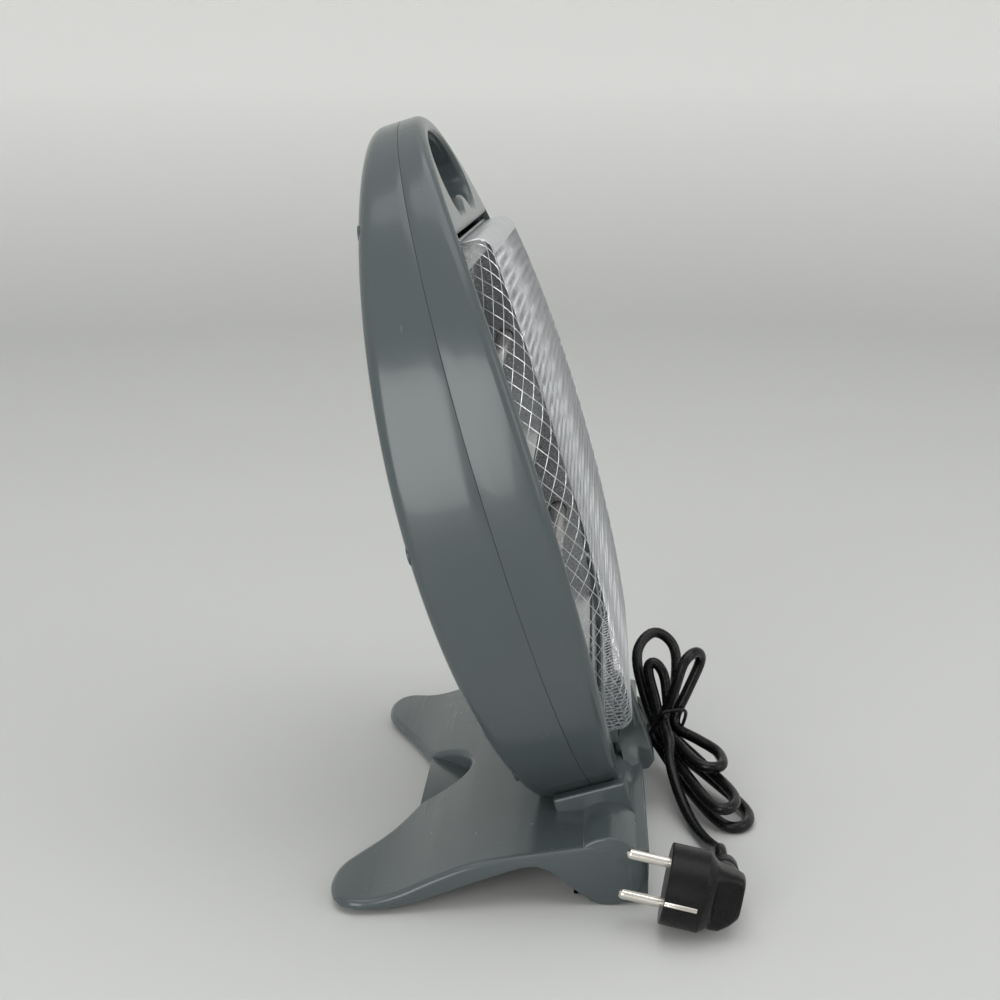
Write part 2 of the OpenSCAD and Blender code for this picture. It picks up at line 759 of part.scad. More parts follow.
// A smooth line through chosen points, with a number of steps between each two
function between(a, b, c, d, t) = 0.5 * (2 * b + (c - a) * t
    + (2 * a - 5 * b + 4 * c - d) * t * t + (3 * b - a - 3 * c + d) * t * t * t);
function padded(p) = concat([2 * p[0] - p[1]], p, [2 * p[len(p) - 1] - p[len(p) - 2]]);
function smooth_line(p, steps) = let (q = padded(p)) concat(
    [for (i = [1 : len(q) - 3], k = [0 : steps - 1])
        between(q[i - 1], q[i], q[i + 1], q[i + 2], k / steps)],
    [p[len(p) - 1]]);

function unit(v) = v / norm(v);
function heading(line, i) = unit(i == 0 ? line[1] - line[0]
    : i == len(line) - 1 ? line[i] - line[i - 1] : line[i + 1] - line[i - 1]);
// Side directions carried along the line without twist
function carried(line, i, side) = i >= len(line) ? [] :
    let (t = heading(line, i), s = unit(side - t * (side * t)))
    concat([s], carried(line, i + 1, s));

module tube(line, r, sides) {
    n = len(line);
    start = unit(cross(heading(line, 0), [0.31, 0.17, 0.93]));
    side = carried(line, 0, start);
    points = [for (i = [0 : n - 1], k = [0 : sides - 1])
        let (t = heading(line, i), u = side[i], v = cross(t, u), a = 360 * (k + 0.5) / sides)
        line[i] + r * (cos(a) * u + sin(a) * v)];
    walls = [for (i = [0 : n - 2], k = [0 : sides - 1])
        let (a = i * sides + k, b = i * sides + (k + 1) % sides)
        [a, a + sides, b + sides, b]];
    caps = [[for (k = [0 : sides - 1]) k], [for (k = [sides - 1 : -1 : 0]) (n - 1) * sides + k]];
    translate([forward, 0, 0]) polyhedron(points, concat(walls, caps), convexity = 12);
}

// Where the tie holds the hank, the way its strands run there, and their places
tie_at = [46.5, 36, 27.4];
tie_way = unit([-0.25, 0.80, 0.55]);
tie_side = let (s = [1, 0.3, 0]) unit(s - tie_way * (s * tie_way));
tie_up = cross(tie_side, tie_way);
layer_of = [0, 0, 1, 1, 2, 2, 3];
side_of = [-1, 1, -1, 1, -1, 1, -1];
layer_step = 8.1;
side_step = 3.6;
function strand(k) = tie_at + tie_side * side_of[k] * side_step
    + tie_up * (layer_of[k] - 1.5) * layer_step;

// Turns of the hank: lies on the floor or stands, its far point, half width, sideways
turns = [["lies", [84, -33, 3.3], 11.5, [0.64, 0.77, 0]],
    ["stands", [39.9, 71.7, 71.9], 11.3, [0.99, 0.1, 0.2]],
    ["lies", [76.6, -34.8, 14], 10, [0.59, 0.81, 0]],
    ["stands", [39.2, 50.3, 61.3], 6.2, [0.73, -0.68, 0.2]],
    ["lies", [74, -2.5, 22.5], 10.6, [0.5, 0.86, 0]],
    ["stands", [61.5, 37.4, 72.3], 6.1, [0.85, 0.53, 0.1]]];
function sunk(p, tip, from, a, lies) = lies ?
    [p[0], p[1], tip[2] + (from[2] - tip[2]) * pow(1 - a, 1.7)] : p;
function turn_points(k) = let (
    lies = turns[k][0] == "lies", tip = turns[k][1], half = turns[k][2],
    sideways = unit(turns[k][3]) * side_of[k], middle = (strand(k) + strand(k + 1)) / 2,
    up = lies ? [0, 0, 1] : [0, -0.83, 0.55],
    lift = up * (layer_of[k + 1] - layer_of[k]) / 2 * layer_step,
    wide = 1 - 0.95 * half / norm(tip - middle), way = tip - middle,
    early = sunk(middle + way * 0.42, tip, middle, 0.42, lies),
    late = sunk(middle + way * wide, tip, middle, wide, lies))
    [strand(k), early + sideways * half * 0.8 - lift, late + sideways * half - lift, tip,
        late - sideways * half + lift, early - sideways * half * 0.8 + lift];
hank_start = strand(0) + [-1.5, 12, 1];
hank_end = strand(6) - tie_side * 2.6 - tie_way * 12 + tie_up * 1.6;
hank_points = concat([hank_start], [for (k = [0 : 5]) each turn_points(k)],
    [strand(6) - tie_side * 0.6, hank_end]);
plug_at = [38, -132.4, 22.5];
// The plug's own directions: back from its face, sideways, along its row of pins
plug_roll = -9;
plug_tip = 10;
plug_yaw = -4.9;
function turned(p) = let (
    a = [p[0], p[1] * cos(plug_roll) - p[2] * sin(plug_roll),
        p[1] * sin(plug_roll) + p[2] * cos(plug_roll)],
    b = [a[0] * cos(plug_tip) + a[2] * sin(plug_tip), a[1],
        -a[0] * sin(plug_tip) + a[2] * cos(plug_tip)])
    [b[0] * cos(plug_yaw) - b[1] * sin(plug_yaw), b[0] * sin(plug_yaw) + b[1] * cos(plug_yaw), b[2]];
neck_x = 27;
neck_long = 37;
tail_way = turned([0, -1, 0]);
tail_mouth = plug_at + turned([neck_x, neck_long, 0]);

hank_line = smooth_line(hank_points, 2);
start_way = heading(hank_line, 0);
end_way = heading(hank_line, len(hank_line) - 1);
lead_points = [[-8, 76, 12], [-8, 88, 12], [-8, 98, 12], [-8, 106, 11.8], [-7.8, 114, 7.8],
    [-6.5, 123, 4.6], [-3, 133, 3.4], [4, 142, 3.3], [14, 147, 3.3], [25, 145, 3.3],
    [34, 137, 3.3], [38, 124, 3.3], [40, 108, 3.3], [41, 94, 4.2], [41, 82, 8], [40, 70, 14],
    hank_start - start_way * 8, hank_start - start_way * 0.25];
tail_points = [hank_end + end_way * 0.25, hank_end + end_way * 8, [47, 2, 22],
    [51, -14, 11.5], [57, -34, 4.4], [63, -53, 3.9], [67, -70, 8], [67.2, -81, 13.5],
    tail_mouth - tail_way * 8, tail_mouth - tail_way * 0.3];
hank_fine = smooth_line(hank_points, 4);
hank_gap = min([for (i = [0 : len(hank_fine) - 1], j = [i + 8 : 1 : len(hank_fine) - 1])
    norm(hank_fine[i] - hank_fine[j])]) - 2 * cord_radius;
echo(least_gap_in_hank = hank_gap, hank_gap_ok = hank_gap > 0.4);

module cord_lead() color([0.03, 0.03, 0.03]) tube(smooth_line(lead_points, 2), cord_radius, 10);
module cord_hank() color([0.03, 0.03, 0.03]) tube(hank_line, cord_radius, 6);
module cord_tail() color([0.03, 0.03, 0.03]) tube(smooth_line(tail_points, 2), cord_radius, 10);

// Coated wire twisted once round the hank, with its two ends left over
function squarish(v) = sign(v) * sqrt(abs(v));
tie_line = let (a = side_step + cord_radius + 2.5, b = 1.5 * layer_step + cord_radius + 2.8)
    concat([tie_at - tie_side * (a + 2) - tie_up * 13 - tie_way * 1.2,
        tie_at - tie_side * (a + 1) - tie_up * 7.5 - tie_way * 1.2],
    [for (i = [0 : 24]) let (t = 196 - 344 * i / 24) tie_at + tie_side * a * squarish(cos(t))
        + tie_up * b * squarish(sin(t)) + tie_way * (2.4 * i / 24 - 1.2)],
    [tie_at - tie_side * (a + 1.2) - tie_up * 9 + tie_way * 1.6,
        tie_at - tie_side * (a + 2.6) - tie_up * 13 + tie_way * 3]);
module cord_tie() color([0.03, 0.03, 0.03]) tube(tie_line, 1, 6);

// ---------- plug ----------
module at_plug() {
    translate([forward + plug_at[0], plug_at[1], plug_at[2]])
        rotate([plug_roll, plug_tip, plug_yaw]) children();
}
module plug_body() color([0.04, 0.04, 0.04]) at_plug() difference() {
    union() {
        rod(plug_radius, 0, 15.5, 64);
        rod(plug_radius - 2.4, 15, 18, 48);
        intersection() {
            translate([12, -13, -15.5]) cube([24, 28, 31]);
            rod(17, 12, 40, 48);
        }
        for (i = [0 : 3]) intersection() {
            translate([19 + 4.4 * i, -14.2, -14.5]) cube([2, 30.4, 29]);
            rod(17.4, 12, 40, 48);
        }
        translate([neck_x, 12, 0]) rotate([-90, 0, 0])
            cylinder(r1 = 6.8, r2 = 4.3, h = neck_long - 12);
        for (i = [0 : 4]) translate([neck_x, 18 + 3.6 * i, 0]) rotate([-90, 0, 0])
            cylinder(r = 6.7 - 0.38 * i, h = 1.8);
    }
    for (side = [-1, 1]) translate([0, 0, side * pin_gap / 2]) rod(pin_radius, -1, 5);
    for (side = [-1, 1]) translate([-1, side * 16.6 - 2.4, -3.2]) cube([14, 4.8, 6.4]);
}

module plug_pins() color([0.80, 0.80, 0.78]) at_plug()
    for (side = [-1, 1]) translate([0, 0, side * pin_gap / 2]) {
        rod(pin_radius - 0.03, -17.5, 4.8);
        translate([-17.5, 0, 0]) sphere(r = pin_radius - 0.03, $fn = 32);
    }

module plug_earth_clips() color([0.82, 0.81, 0.77]) at_plug()
    for (side = [-1, 1]) translate([0.6, side * 16.3, 0]) {
        translate([0, -0.4 + side * 1.2, -2.5]) cube([12, 0.8, 5]);
        translate([11.2, side * 0.2 - 1.6, -2.5]) cube([0.8, 3.2, 5]);
    }

base_shell();
base_cover();
rubber_feet();
base_screws();
neck_bracket();
neck_screws();
tip_switch_housing();
tip_plunger();
plunger_spring();
rear_shell();
front_shell();
shell_screws();
grille_frame();
wire_grille();
grille_wall();
grille_clips();
reflector();
reflector_screws();
quartz_tubes();
heating_coils();
tube_holders();
heat_shield();
thermal_cutout();
rotary_switch();
switch_shaft();
control_knob();
terminal_block();
inner_wires();
strain_relief();
cord_lead();
cord_hank();
cord_tie();
cord_tail();
plug_body();
plug_pins();
plug_earth_clips();
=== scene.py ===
"""Looks of the table-top radiant heater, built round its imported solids.

The frame is in metres, X to the front, Z up, with the floor at z = 0. Sizes in the classes are
millimetres and angles are degrees, unless a line says otherwise.
"""

from __future__ import annotations

import json
import logging
import math
from collections.abc import Callable, Iterator, Sequence
from contextlib import contextmanager
from dataclasses import dataclass, field
from enum import Enum
from typing import Any

import bpy
import numpy as np
from mathutils import Matrix, Vector

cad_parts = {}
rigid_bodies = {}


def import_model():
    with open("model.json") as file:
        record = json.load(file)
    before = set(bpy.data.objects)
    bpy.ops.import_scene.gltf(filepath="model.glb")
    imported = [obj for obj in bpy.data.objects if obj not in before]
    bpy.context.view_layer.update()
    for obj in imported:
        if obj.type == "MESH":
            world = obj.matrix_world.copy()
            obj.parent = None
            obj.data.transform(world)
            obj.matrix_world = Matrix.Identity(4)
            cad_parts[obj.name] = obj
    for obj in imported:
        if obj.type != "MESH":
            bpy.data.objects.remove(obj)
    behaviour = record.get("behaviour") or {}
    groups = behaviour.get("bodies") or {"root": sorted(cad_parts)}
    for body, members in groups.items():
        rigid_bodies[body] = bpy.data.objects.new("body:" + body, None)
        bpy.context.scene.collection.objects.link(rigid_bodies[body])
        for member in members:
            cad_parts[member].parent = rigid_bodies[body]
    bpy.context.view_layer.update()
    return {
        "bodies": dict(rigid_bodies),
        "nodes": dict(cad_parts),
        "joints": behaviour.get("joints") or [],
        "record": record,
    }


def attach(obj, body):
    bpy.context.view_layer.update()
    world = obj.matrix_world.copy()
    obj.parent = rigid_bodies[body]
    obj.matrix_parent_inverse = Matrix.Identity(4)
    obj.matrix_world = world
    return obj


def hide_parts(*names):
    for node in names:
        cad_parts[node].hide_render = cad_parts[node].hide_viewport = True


Object = bpy.types.Object
Rows = np.ndarray
Flat = tuple[float, float]
Spot = tuple[float, float, float]
Depth = Callable[[Any], Any]
Ring = tuple[float, Depth]

LOG = logging.getLogger("heater")
MM = 0.001
MERGE = 0.00002
FORWARD = 39.9  # the zero of the base's own sizes lies this far ahead of the frame's
FRAME: dict[str, Any] = {}
MATERIALS: dict[str, bpy.types.Material] = {}  # each finish's material, made when first needed


class Body(Enum):
    """The bodies that new pieces ride on."""

    HEATER = "heater"
    KNOB = "knob"


class Cut(Enum):
    """Ways to shape a piece with a tool shape."""

    AWAY = "DIFFERENCE"
    KEEP = "INTERSECT"


class Pick(Enum):
    """What an edit of a mesh selects."""

    CORNERS = "VERT"
    EDGES = "EDGE"
    FACES = "FACE"


# ---------- bench: selecting, editing and finishing meshes ----------


def put_down() -> None:
    """Deselects everything."""
    bpy.ops.object.select_all(action="DESELECT")


def pick_up(obj: Object) -> Object:
    """Makes one object the only selected and active one.

    Args:
        obj: The object to work on.

    Returns:
        The same object.
    """
    put_down()
    obj.select_set(True)
    bpy.context.view_layer.objects.active = obj
    return obj


@contextmanager
def editing(obj: Object, kind: Pick = Pick.CORNERS, every: bool = True) -> Iterator[None]:
    """Opens a mesh in edit mode, and closes it after.

    Args:
        obj: The mesh object.
        kind: What is selected.
        every: Starts with everything selected, or else with nothing.
    """
    pick_up(obj)
    bpy.ops.object.mode_set(mode="EDIT")
    bpy.ops.mesh.select_mode(type=kind.value)
    bpy.ops.mesh.select_all(action="SELECT" if every else "DESELECT")
    yield
    bpy.ops.object.mode_set(mode="OBJECT")


def choose_faces(obj: Object, test: Callable[[Vector], bool]) -> None:
    """Selects the faces of the mesh being edited whose normal passes a test.

    Args:
        obj: The mesh object in edit mode.
        test: Takes a face's normal.
    """
    bpy.ops.object.mode_set(mode="OBJECT")
    for face in obj.data.polygons:
        face.select = test(face.normal)
    bpy.ops.object.mode_set(mode="EDIT")


def added(name: str) -> Object:
    """Names the primitive just added.

    Args:
        name: The new object's name.

    Returns:
        The new object.
    """
    obj = bpy.context.active_object
    obj.name = name
    obj.data.name = name
    return obj


def linked(name: str, data: Any) -> Object:
    """Adds an object for a curve, a camera or a lamp to the scene.

    Args:
        name: The new object's name.
        data: What it holds.

    Returns:
        The new object.
    """
    obj = bpy.data.objects.new(name, data)
    bpy.context.scene.collection.objects.link(obj)
    return obj


def settle(obj: Object) -> Object:
    """Puts an object's place into its mesh."""
    pick_up(obj)
    bpy.ops.object.transform_apply(location=True, rotation=True, scale=True)
    return obj


def lay(obj: Object, spots: Rows) -> None:
    """Lays a mesh's corners on given places, in metres."""
    obj.data.vertices.foreach_set("co", spots.reshape(-1).astype(np.float32))
    obj.data.update()


def finish(obj: Object, kind: str, **settings: Any) -> Object:
    """Adds a modifier, sets it and applies it.

    Args:
        obj: The mesh object.
        kind: The modifier's type.
        **settings: The modifier's values.

    Returns:
        The same object.
    """
    pick_up(obj)
    step = obj.modifiers.new(kind.lower(), kind)
    for name, value in settings.items():
        setattr(step, name, value)
    bpy.ops.object.modifier_apply(modifier=step.name)
    return obj


def shape_with(obj: Object, tool: Object, way: Cut = Cut.AWAY) -> Object:
    """Shapes an object with a tool shape, which is then thrown away.

    Args:
        obj: The shape to keep.
        tool: The tool shape.
        way: What becomes of the place where both are.

    Returns:
        The changed object.
    """
    finish(obj, "BOOLEAN", object=tool, operation=way.value, solver="EXACT")
    bpy.data.objects.remove(tool, do_unlink=True)
    return obj


def joined(name: str, parts: Sequence[Object]) -> Object:
    """Joins several objects into one.

    Args:
        name: The name of the result.
        parts: The objects.

    Returns:
        The joined object.
    """
    put_down()
    for part in parts:
        part.select_set(True)
    bpy.context.view_layer.objects.active = parts[0]
    bpy.ops.object.join()
    return added(name)


def merged(obj: Object, gap: float = MERGE) -> Object:
    """Merges corners that are no more than a gap in metres apart."""
    with editing(obj):
        bpy.ops.mesh.remove_doubles(threshold=gap)
    return obj


def faced(obj: Object) -> Object:
    """Merges doubled corners and turns all faces outwards."""
    with editing(merged(obj)):
        bpy.ops.mesh.normals_make_consistent(inside=False)
    return obj


def smooth(obj: Object, degrees: float = 38.0) -> Object:
    """Shades a mesh smooth except across edges sharper than an angle."""
    pick_up(obj)
    bpy.ops.object.shade_smooth_by_angle(angle=math.radians(degrees))
    return obj


def all_smooth(obj: Object) -> Object:
    """Shades a whole mesh smooth."""
    pick_up(obj)
    bpy.ops.object.shade_smooth()
    return obj


def laid_sheet(name: str, rows: Sequence[Rows], ring: bool = False) -> Object:
    """Adds a grid and lays its rows of corners on given places.

    Args:
        name: The new object's name.
        rows: Rows of places in metres.
        ring: The last corner of each row meets the first.

    Returns:
        The sheet.
    """
    spots = np.array(rows)
    if ring:
        spots = np.concatenate([spots, spots[:, :1]], axis=1)
    lines, across = spots.shape[:2]
    put_down()
    bpy.ops.mesh.primitive_grid_add(x_subdivisions=across - 1, y_subdivisions=lines - 1, size=1)
    obj = added(name)
    lay(obj, spots)
    return merged(obj)


def prism(name: str, outline: Rows, along: Vector) -> Object:
    """Fills an outline and draws it out into a closed prism.

    Args:
        name: The new object's name.
        outline: Corners in metres, in order.
        along: The direction and length of the extrusion.

    Returns:
        The prism.
    """
    put_down()
    bpy.ops.mesh.primitive_circle_add(vertices=len(outline), radius=1, fill_type="NGON")
    obj = added(name)
    lay(obj, outline)
    with editing(obj, Pick.FACES):
        bpy.ops.mesh.extrude_region_move(TRANSFORM_OT_translate={"value": tuple(along)})
    return faced(obj)


def rounded_block(name: str, low: Sequence[float], high: Sequence[float], edge: float,
                  steps: int = 3) -> Object:
    """Adds a block between two corners and rounds its edges.

    Args:
        name: The new object's name.
        low: Lowest corner in metres.
        high: Highest corner in metres.
        edge: Radius of the edges in metres.
        steps: Segments of the rounding.

    Returns:
        The block.
    """
    middle = [(a + b) / 2 for a, b in zip(low, high)]
    put_down()
    bpy.ops.mesh.primitive_cube_add(size=1, location=middle)
    obj = added(name)
    obj.scale = [b - a for a, b in zip(low, high)]
    with editing(settle(obj), Pick.EDGES):
        bpy.ops.mesh.bevel(offset=edge, segments=steps, profile=0.5, clamp_overlap=True)
    return obj


def round_bar(name: str, low: Vector, high: Vector, radius: float, sides: int = 96,
              edge: float = 0.0) -> Object:
    """Adds a round bar between two points, with rounded rims.

    Args:
        name: The new object's name.
        low: One end in metres.
        high: The other end in metres.
        radius: Radius in metres.
        sides: Corners round it.
        edge: Radius of its rims in metres.

    Returns:
        The bar.
    """
    way = high - low
    put_down()
    bpy.ops.mesh.primitive_cylinder_add(vertices=sides, radius=radius, depth=way.length)
    obj = added(name)
    if edge:
        with editing(obj, Pick.FACES, every=False):
            choose_faces(obj, lambda normal: abs(normal.z) > 0.9)
            bpy.ops.mesh.bevel(offset=edge, segments=3, profile=0.5)
    turn = way.to_track_quat("Z", "Y").to_matrix().to_4x4()
    obj.matrix_world = Matrix.Translation((low + high) / 2) @ turn
    return settle(obj)


def softened(name: str, node: str, grain: float, rounds: int) -> Object:
    """Copies a solid's mesh and rounds its edges as a mould would.

    Args:
        name: The new object's name.
        node: The solid.
        grain: Mesh size in metres.
        rounds: How many times the surface is eased.

    Returns:
        The softened copy.
    """
    source = FRAME["nodes"][node]
    obj = source.copy()
    obj.data = source.data.copy()
    for key in list(obj.keys()):
        del obj[key]
    obj.parent = None
    obj.matrix_world = source.matrix_world.copy()
    bpy.context.scene.collection.objects.link(obj)
    obj.name = name
    obj.data.name = name
    obj.data.materials.clear()
    merged(settle(obj), MERGE / 2)
    finish(obj, "REMESH", mode="VOXEL", voxel_size=grain, use_smooth_shade=True)
    finish(obj, "SMOOTH", factor=0.5, iterations=rounds)
    return all_smooth(obj)


def wire(name: str, lines: Sequence[Rows], radius: float, around: int,
         capped: bool = True, loops: Sequence[Rows] = ()) -> Object:
    """A round cord or wire along lines, as one curve.

    Args:
        name: The new object's name.
        lines: Points of each open line, in metres.
        radius: Radius in metres.
        around: Fineness round it.
        capped: Closes the ends of the open lines.
        loops: Points of each closed line, in metres.

    Returns:
        The curve object.
    """
    curve = bpy.data.curves.new(name, "CURVE")
    curve.dimensions = "3D"
    curve.bevel_depth = radius
    curve.bevel_resolution = around
    curve.use_fill_caps = capped
    for line in (*lines, *loops):
        spline = curve.splines.new("POLY")
        spline.points.add(len(line) - 1)
        for point, place in zip(spline.points, line):
            point.co = (*place, 1)
    for spline in curve.splines[len(lines):]:
        spline.use_cyclic_u = True
    return linked(name, curve)


# ---------- lines and outlines ----------


def full_turn(count: int) -> Rows:
    """Angles of a full turn in equal steps, in radians."""
    return np.linspace(0, 2 * math.pi, count, endpoint=False)


def rounding(radius: float, degrees: Sequence[float]) -> list[Flat]:
    """How far a rounded edge draws in and how far it drops, at each angle from its side."""
    return [(radius * (1 - math.cos(a)), radius * (1 - math.sin(a))) for a in np.radians(degrees)]


def level(depth: float) -> Depth:
    """A depth that stays the same along the head."""
    return lambda s: depth + 0 * s


def between(a: Rows, b: Rows, c: Rows, d: Rows, t: float) -> Rows:
    """Point at a share t of a smooth line from b to c, with a before them and d after."""
    return 0.5 * (2 * b + (c - a) * t + (2 * a - 5 * b + 4 * c - d) * t * t
                  + (3 * b - a - 3 * c + d) * t ** 3)


def smooth_line(points: Sequence[Sequence[float]], steps: int) -> Rows:
    """Smooth open line through points.

    Args:
        points: The points.
        steps: Steps between each two.

    Returns:
        The line's points.
    """
    p = np.array(points, float)
    q = np.vstack([2 * p[0] - p[1], p, 2 * p[-1] - p[-2]])
    line = [between(*q[i - 1:i + 3], k / steps) for i in range(1, len(q) - 2)
            for k in range(steps)]
    return np.array(line + [p[-1]])


def smooth_loop(points: Rows, steps: int) -> Rows:
    """Smooth closed line through points, with a number of steps between each two."""
    n = len(points)
    return np.array([between(*[points[(i + j) % n] for j in (-1, 0, 1, 2)], k / steps)
                     for i in range(n) for k in range(steps)])


def eased_corners(points: Rows, rounds: int) -> Rows:
    """Cuts the corners of a closed outline again and again, as a scroll saw would.

    Args:
        points: The outline.
        rounds: How often.

    Returns:
        The rounded outline.
    """
    for _ in range(rounds):
        after = np.roll(points, -1, axis=0)
        points = np.stack([0.75 * points + 0.25 * after, 0.25 * points + 0.75 * after],
                          axis=1).reshape(-1, points.shape[1])
    return points


def flat_normals(outline: Rows) -> Rows:
    """Outward directions of a closed flat outline that runs anticlockwise.

    Args:
        outline: Corners, by two.

    Returns:
        Unit directions, one for each corner.
    """
    run = np.roll(outline, -1, axis=0) - np.roll(outline, 1, axis=0)
    side = np.stack([run[:, 1], -run[:, 0]], axis=1)
    return side / np.linalg.norm(side, axis=1, keepdims=True)


def unit(v: Sequence[float]) -> Rows:
    """Unit vector along v."""
    v = np.array(v, float)
    return v / np.linalg.norm(v)


# ---------- finishes ----------


class Level:
    """A shader value that takes part in sums as a number does."""

    def __init__(self, paint: Paint, socket: Any) -> None:
        """Keeps the socket and the paint it belongs to."""
        self.paint = paint
        self.socket = socket

    def __add__(self, other: Level | float) -> Level:
        """Sum."""
        return self.paint.sum_of("ADD", self, other)

    __radd__ = __add__

    def __sub__(self, other: Level | float) -> Level:
        """Difference."""
        return self.paint.sum_of("SUBTRACT", self, other)

    def __rsub__(self, other: float) -> Level:
        """Difference from a number."""
        return self.paint.sum_of("SUBTRACT", other, self)

    def __mul__(self, other: Level | float) -> Level:
        """Product."""
        return self.paint.sum_of("MULTIPLY", self, other)

    __rmul__ = __mul__


class Paint:
    """A material under construction: one principled shader and what feeds it."""

    def __init__(self, name: str) -> None:
        """Starts an empty material of a name."""
        self.material = bpy.data.materials.new(name)
        self.material.use_nodes = True
        self.tree = self.material.node_tree
        self.shader = self.tree.nodes["Principled BSDF"]

    def node(self, kind: str, settings: dict[str, Any] | None = None,
             values: dict[Any, Any] | None = None, out: int | str = 0) -> Level:
        """Adds a node, sets it up, then gives its sockets values or links.

        Args:
            kind: The node's type.
            settings: Its own settings.
            values: Socket name or number to a value or a Level.
            out: The output to use.

        Returns:
            The output.
        """
        made = self.tree.nodes.new(kind)
        for key, value in (settings or {}).items():
            setattr(made, key, value)
        for key, value in (values or {}).items():
            self.feed(made.inputs[key], value)
        return Level(self, made.outputs[out])

    def feed(self, socket: Any, value: Any) -> None:
        """Gives a socket a value or a link.

        Args:
            socket: The input.
            value: A number, colour or Level.
        """
        if isinstance(value, Level):
            self.tree.links.new(value.socket, socket)
        else:
            socket.default_value = value

    def sum_of(self, operation: str, a: Level | float, b: Level | float) -> Level:
        """One step of arithmetic on two values."""
        return self.node("ShaderNodeMath", {"operation": operation}, {0: a, 1: b})

    def place(self, stretch: Spot = (1, 1, 1)) -> Level:
        """Object coordinates, scaled along X, Y and Z."""
        where = self.node("ShaderNodeTexCoord", out="Object")
        return self.node("ShaderNodeMapping", values={"Vector": where, "Scale": stretch})

    def noise(self, scale: float, detail: float, where: Level | None = None) -> Level:
        """Cloudy noise from 0 to 1, with so many clouds for each metre."""
        return self.node("ShaderNodeTexNoise", {"noise_dimensions": "3D"},
                         {"Vector": where or self.place(), "Scale": scale, "Detail": detail})

    def climb(self, value: Level, low: float, high: float) -> Level:
        """Share from 0 to 1 as a value climbs from low to high."""
        return self.node("ShaderNodeMapRange", values={"Value": value, "From Min": low,
                                                       "From Max": high})

    def blend(self, share: Level, first: Level | Spot, second: Level | Spot) -> Level:
        """Mixes two colours by the share of the second."""
        first, second = (c if isinstance(c, Level) else (*c, 1) for c in (first, second))
        return self.node("ShaderNodeMix", {"data_type": "RGBA"}, {0: share, 6: first, 7: second},
                         out=2)

    def bump(self, height: Level, strength: float, depth: float,
             over: Level | None = None) -> Level:
        """Turns a height into a normal.

        Args:
            height: The height.
            strength: Strength from 0 to 1.
            depth: Depth in metres.
            over: The normal that it is laid over.

        Returns:
            The normal.
        """
        values = {"Height": height, "Strength": strength, "Distance": depth}
        if over:
            values["Normal"] = over
        return self.node("ShaderNodeBump", values=values)

    def set(self, sockets: dict[str, Any]) -> None:
        """Gives sockets of the principled shader their values or links."""
        for name, value in sockets.items():
            self.feed(self.shader.inputs[name], value)


@dataclass(frozen=True)
class Finish:
    """A surface finish that makes its own material."""

    dark: Spot
    light: Spot
    rough: float = 0.4
    rough_spread: float = 0.08
    metal: float = 0.0
    cloud: float = 30.0
    grain: float = 1500.0
    grain_depth: float = 0.00004
    stretch: Spot = (1, 1, 1)
    specular: float = 0.5

    def material(self, name: str) -> bpy.types.Material:
        """Makes the material.

        Args:
            name: The material's name.

        Returns:
            The material.
        """
        paint = Paint(name)
        where = paint.place(self.stretch)
        clouds = paint.noise(self.cloud, 5, where)
        grain = paint.noise(self.grain, 3, where)
        paint.set({"Metallic": self.metal, "Specular IOR Level": self.specular})
        paint.set(self.surface(paint, clouds, grain))
        return paint.material

    def surface(self, paint: Paint, clouds: Level, grain: Level) -> dict[str, Any]:
        """Cloudy colour, uneven gloss and a fine grain.

        Args:
            paint: The material under construction.
            clouds: The coarse noise.
            grain: The fine noise.

        Returns:
            What feeds the shader.
        """
        spread = self.rough_spread
        return {"Base Color": paint.blend(clouds, self.dark, self.light),
                "Roughness": (grain - 0.5) * spread + (clouds - 0.5) * spread + self.rough,
                "Normal": paint.bump(grain, 0.5, self.grain_depth)}


@dataclass(frozen=True)
class MouldedPlastic(Finish):
    """Semi-gloss moulded plastic with a soft wave from the mould and faint scuffs."""

    wave: float = 0.0011
    waves: float = 9.0
    wave_stretch: Spot = (1, 1, 0.45)
    scuffs: float = 260.0
    scuff_stretch: Spot = (1, 1, 0.06)
    scuff_levels: Flat = (0.70, 0.80)
    scuff_tone: Spot = (0.24, 0.26, 0.27)
    scuff_share: float = 0.05
    scuff_rough: float = 0.10
    relief: float = 0.35
    coat: Flat = (0.15, 0.08)

    def surface(self, paint: Paint, clouds: Level, grain: Level) -> dict[str, Any]:
        """Cloudy colour and fine grain with the wave, the scuffs and the plastic's clear skin.

        Args:
            paint: The material under construction.
            clouds: The coarse noise.
            grain: The fine noise.

        Returns:
            What feeds the shader.
        """
        wave = paint.noise(self.waves, 1, paint.place(self.wave_stretch))
        scratch = paint.noise(self.scuffs, 2, paint.place(self.scuff_stretch))
        scuff = paint.climb(scratch, *self.scuff_levels)
        plain_colour = paint.blend(clouds, self.dark, self.light)
        weight, gloss = self.coat
        return {"Base Color": paint.blend(scuff * self.scuff_share, plain_colour, self.scuff_tone),
                "Roughness": ((clouds - 0.5) * self.rough_spread + scuff * self.scuff_rough
                              + self.rough),
                "Normal": paint.bump(grain, self.relief, self.grain_depth,
                                     paint.bump(wave, self.relief, self.wave)),
                "Coat Weight": weight, "Coat Roughness": gloss}


@dataclass(frozen=True)
class ClearGlass(Finish):
    """Quartz glass."""

    through: float = 0.92
    bending: float = 1.46
    cover: float = 0.55

    def surface(self, paint: Paint, clouds: Level, grain: Level) -> dict[str, Any]:
        """Adds what lets light through to the common surface."""
        return {**super().surface(paint, clouds, grain), "Transmission Weight": self.through,
                "IOR": self.bending, "Alpha": self.cover}


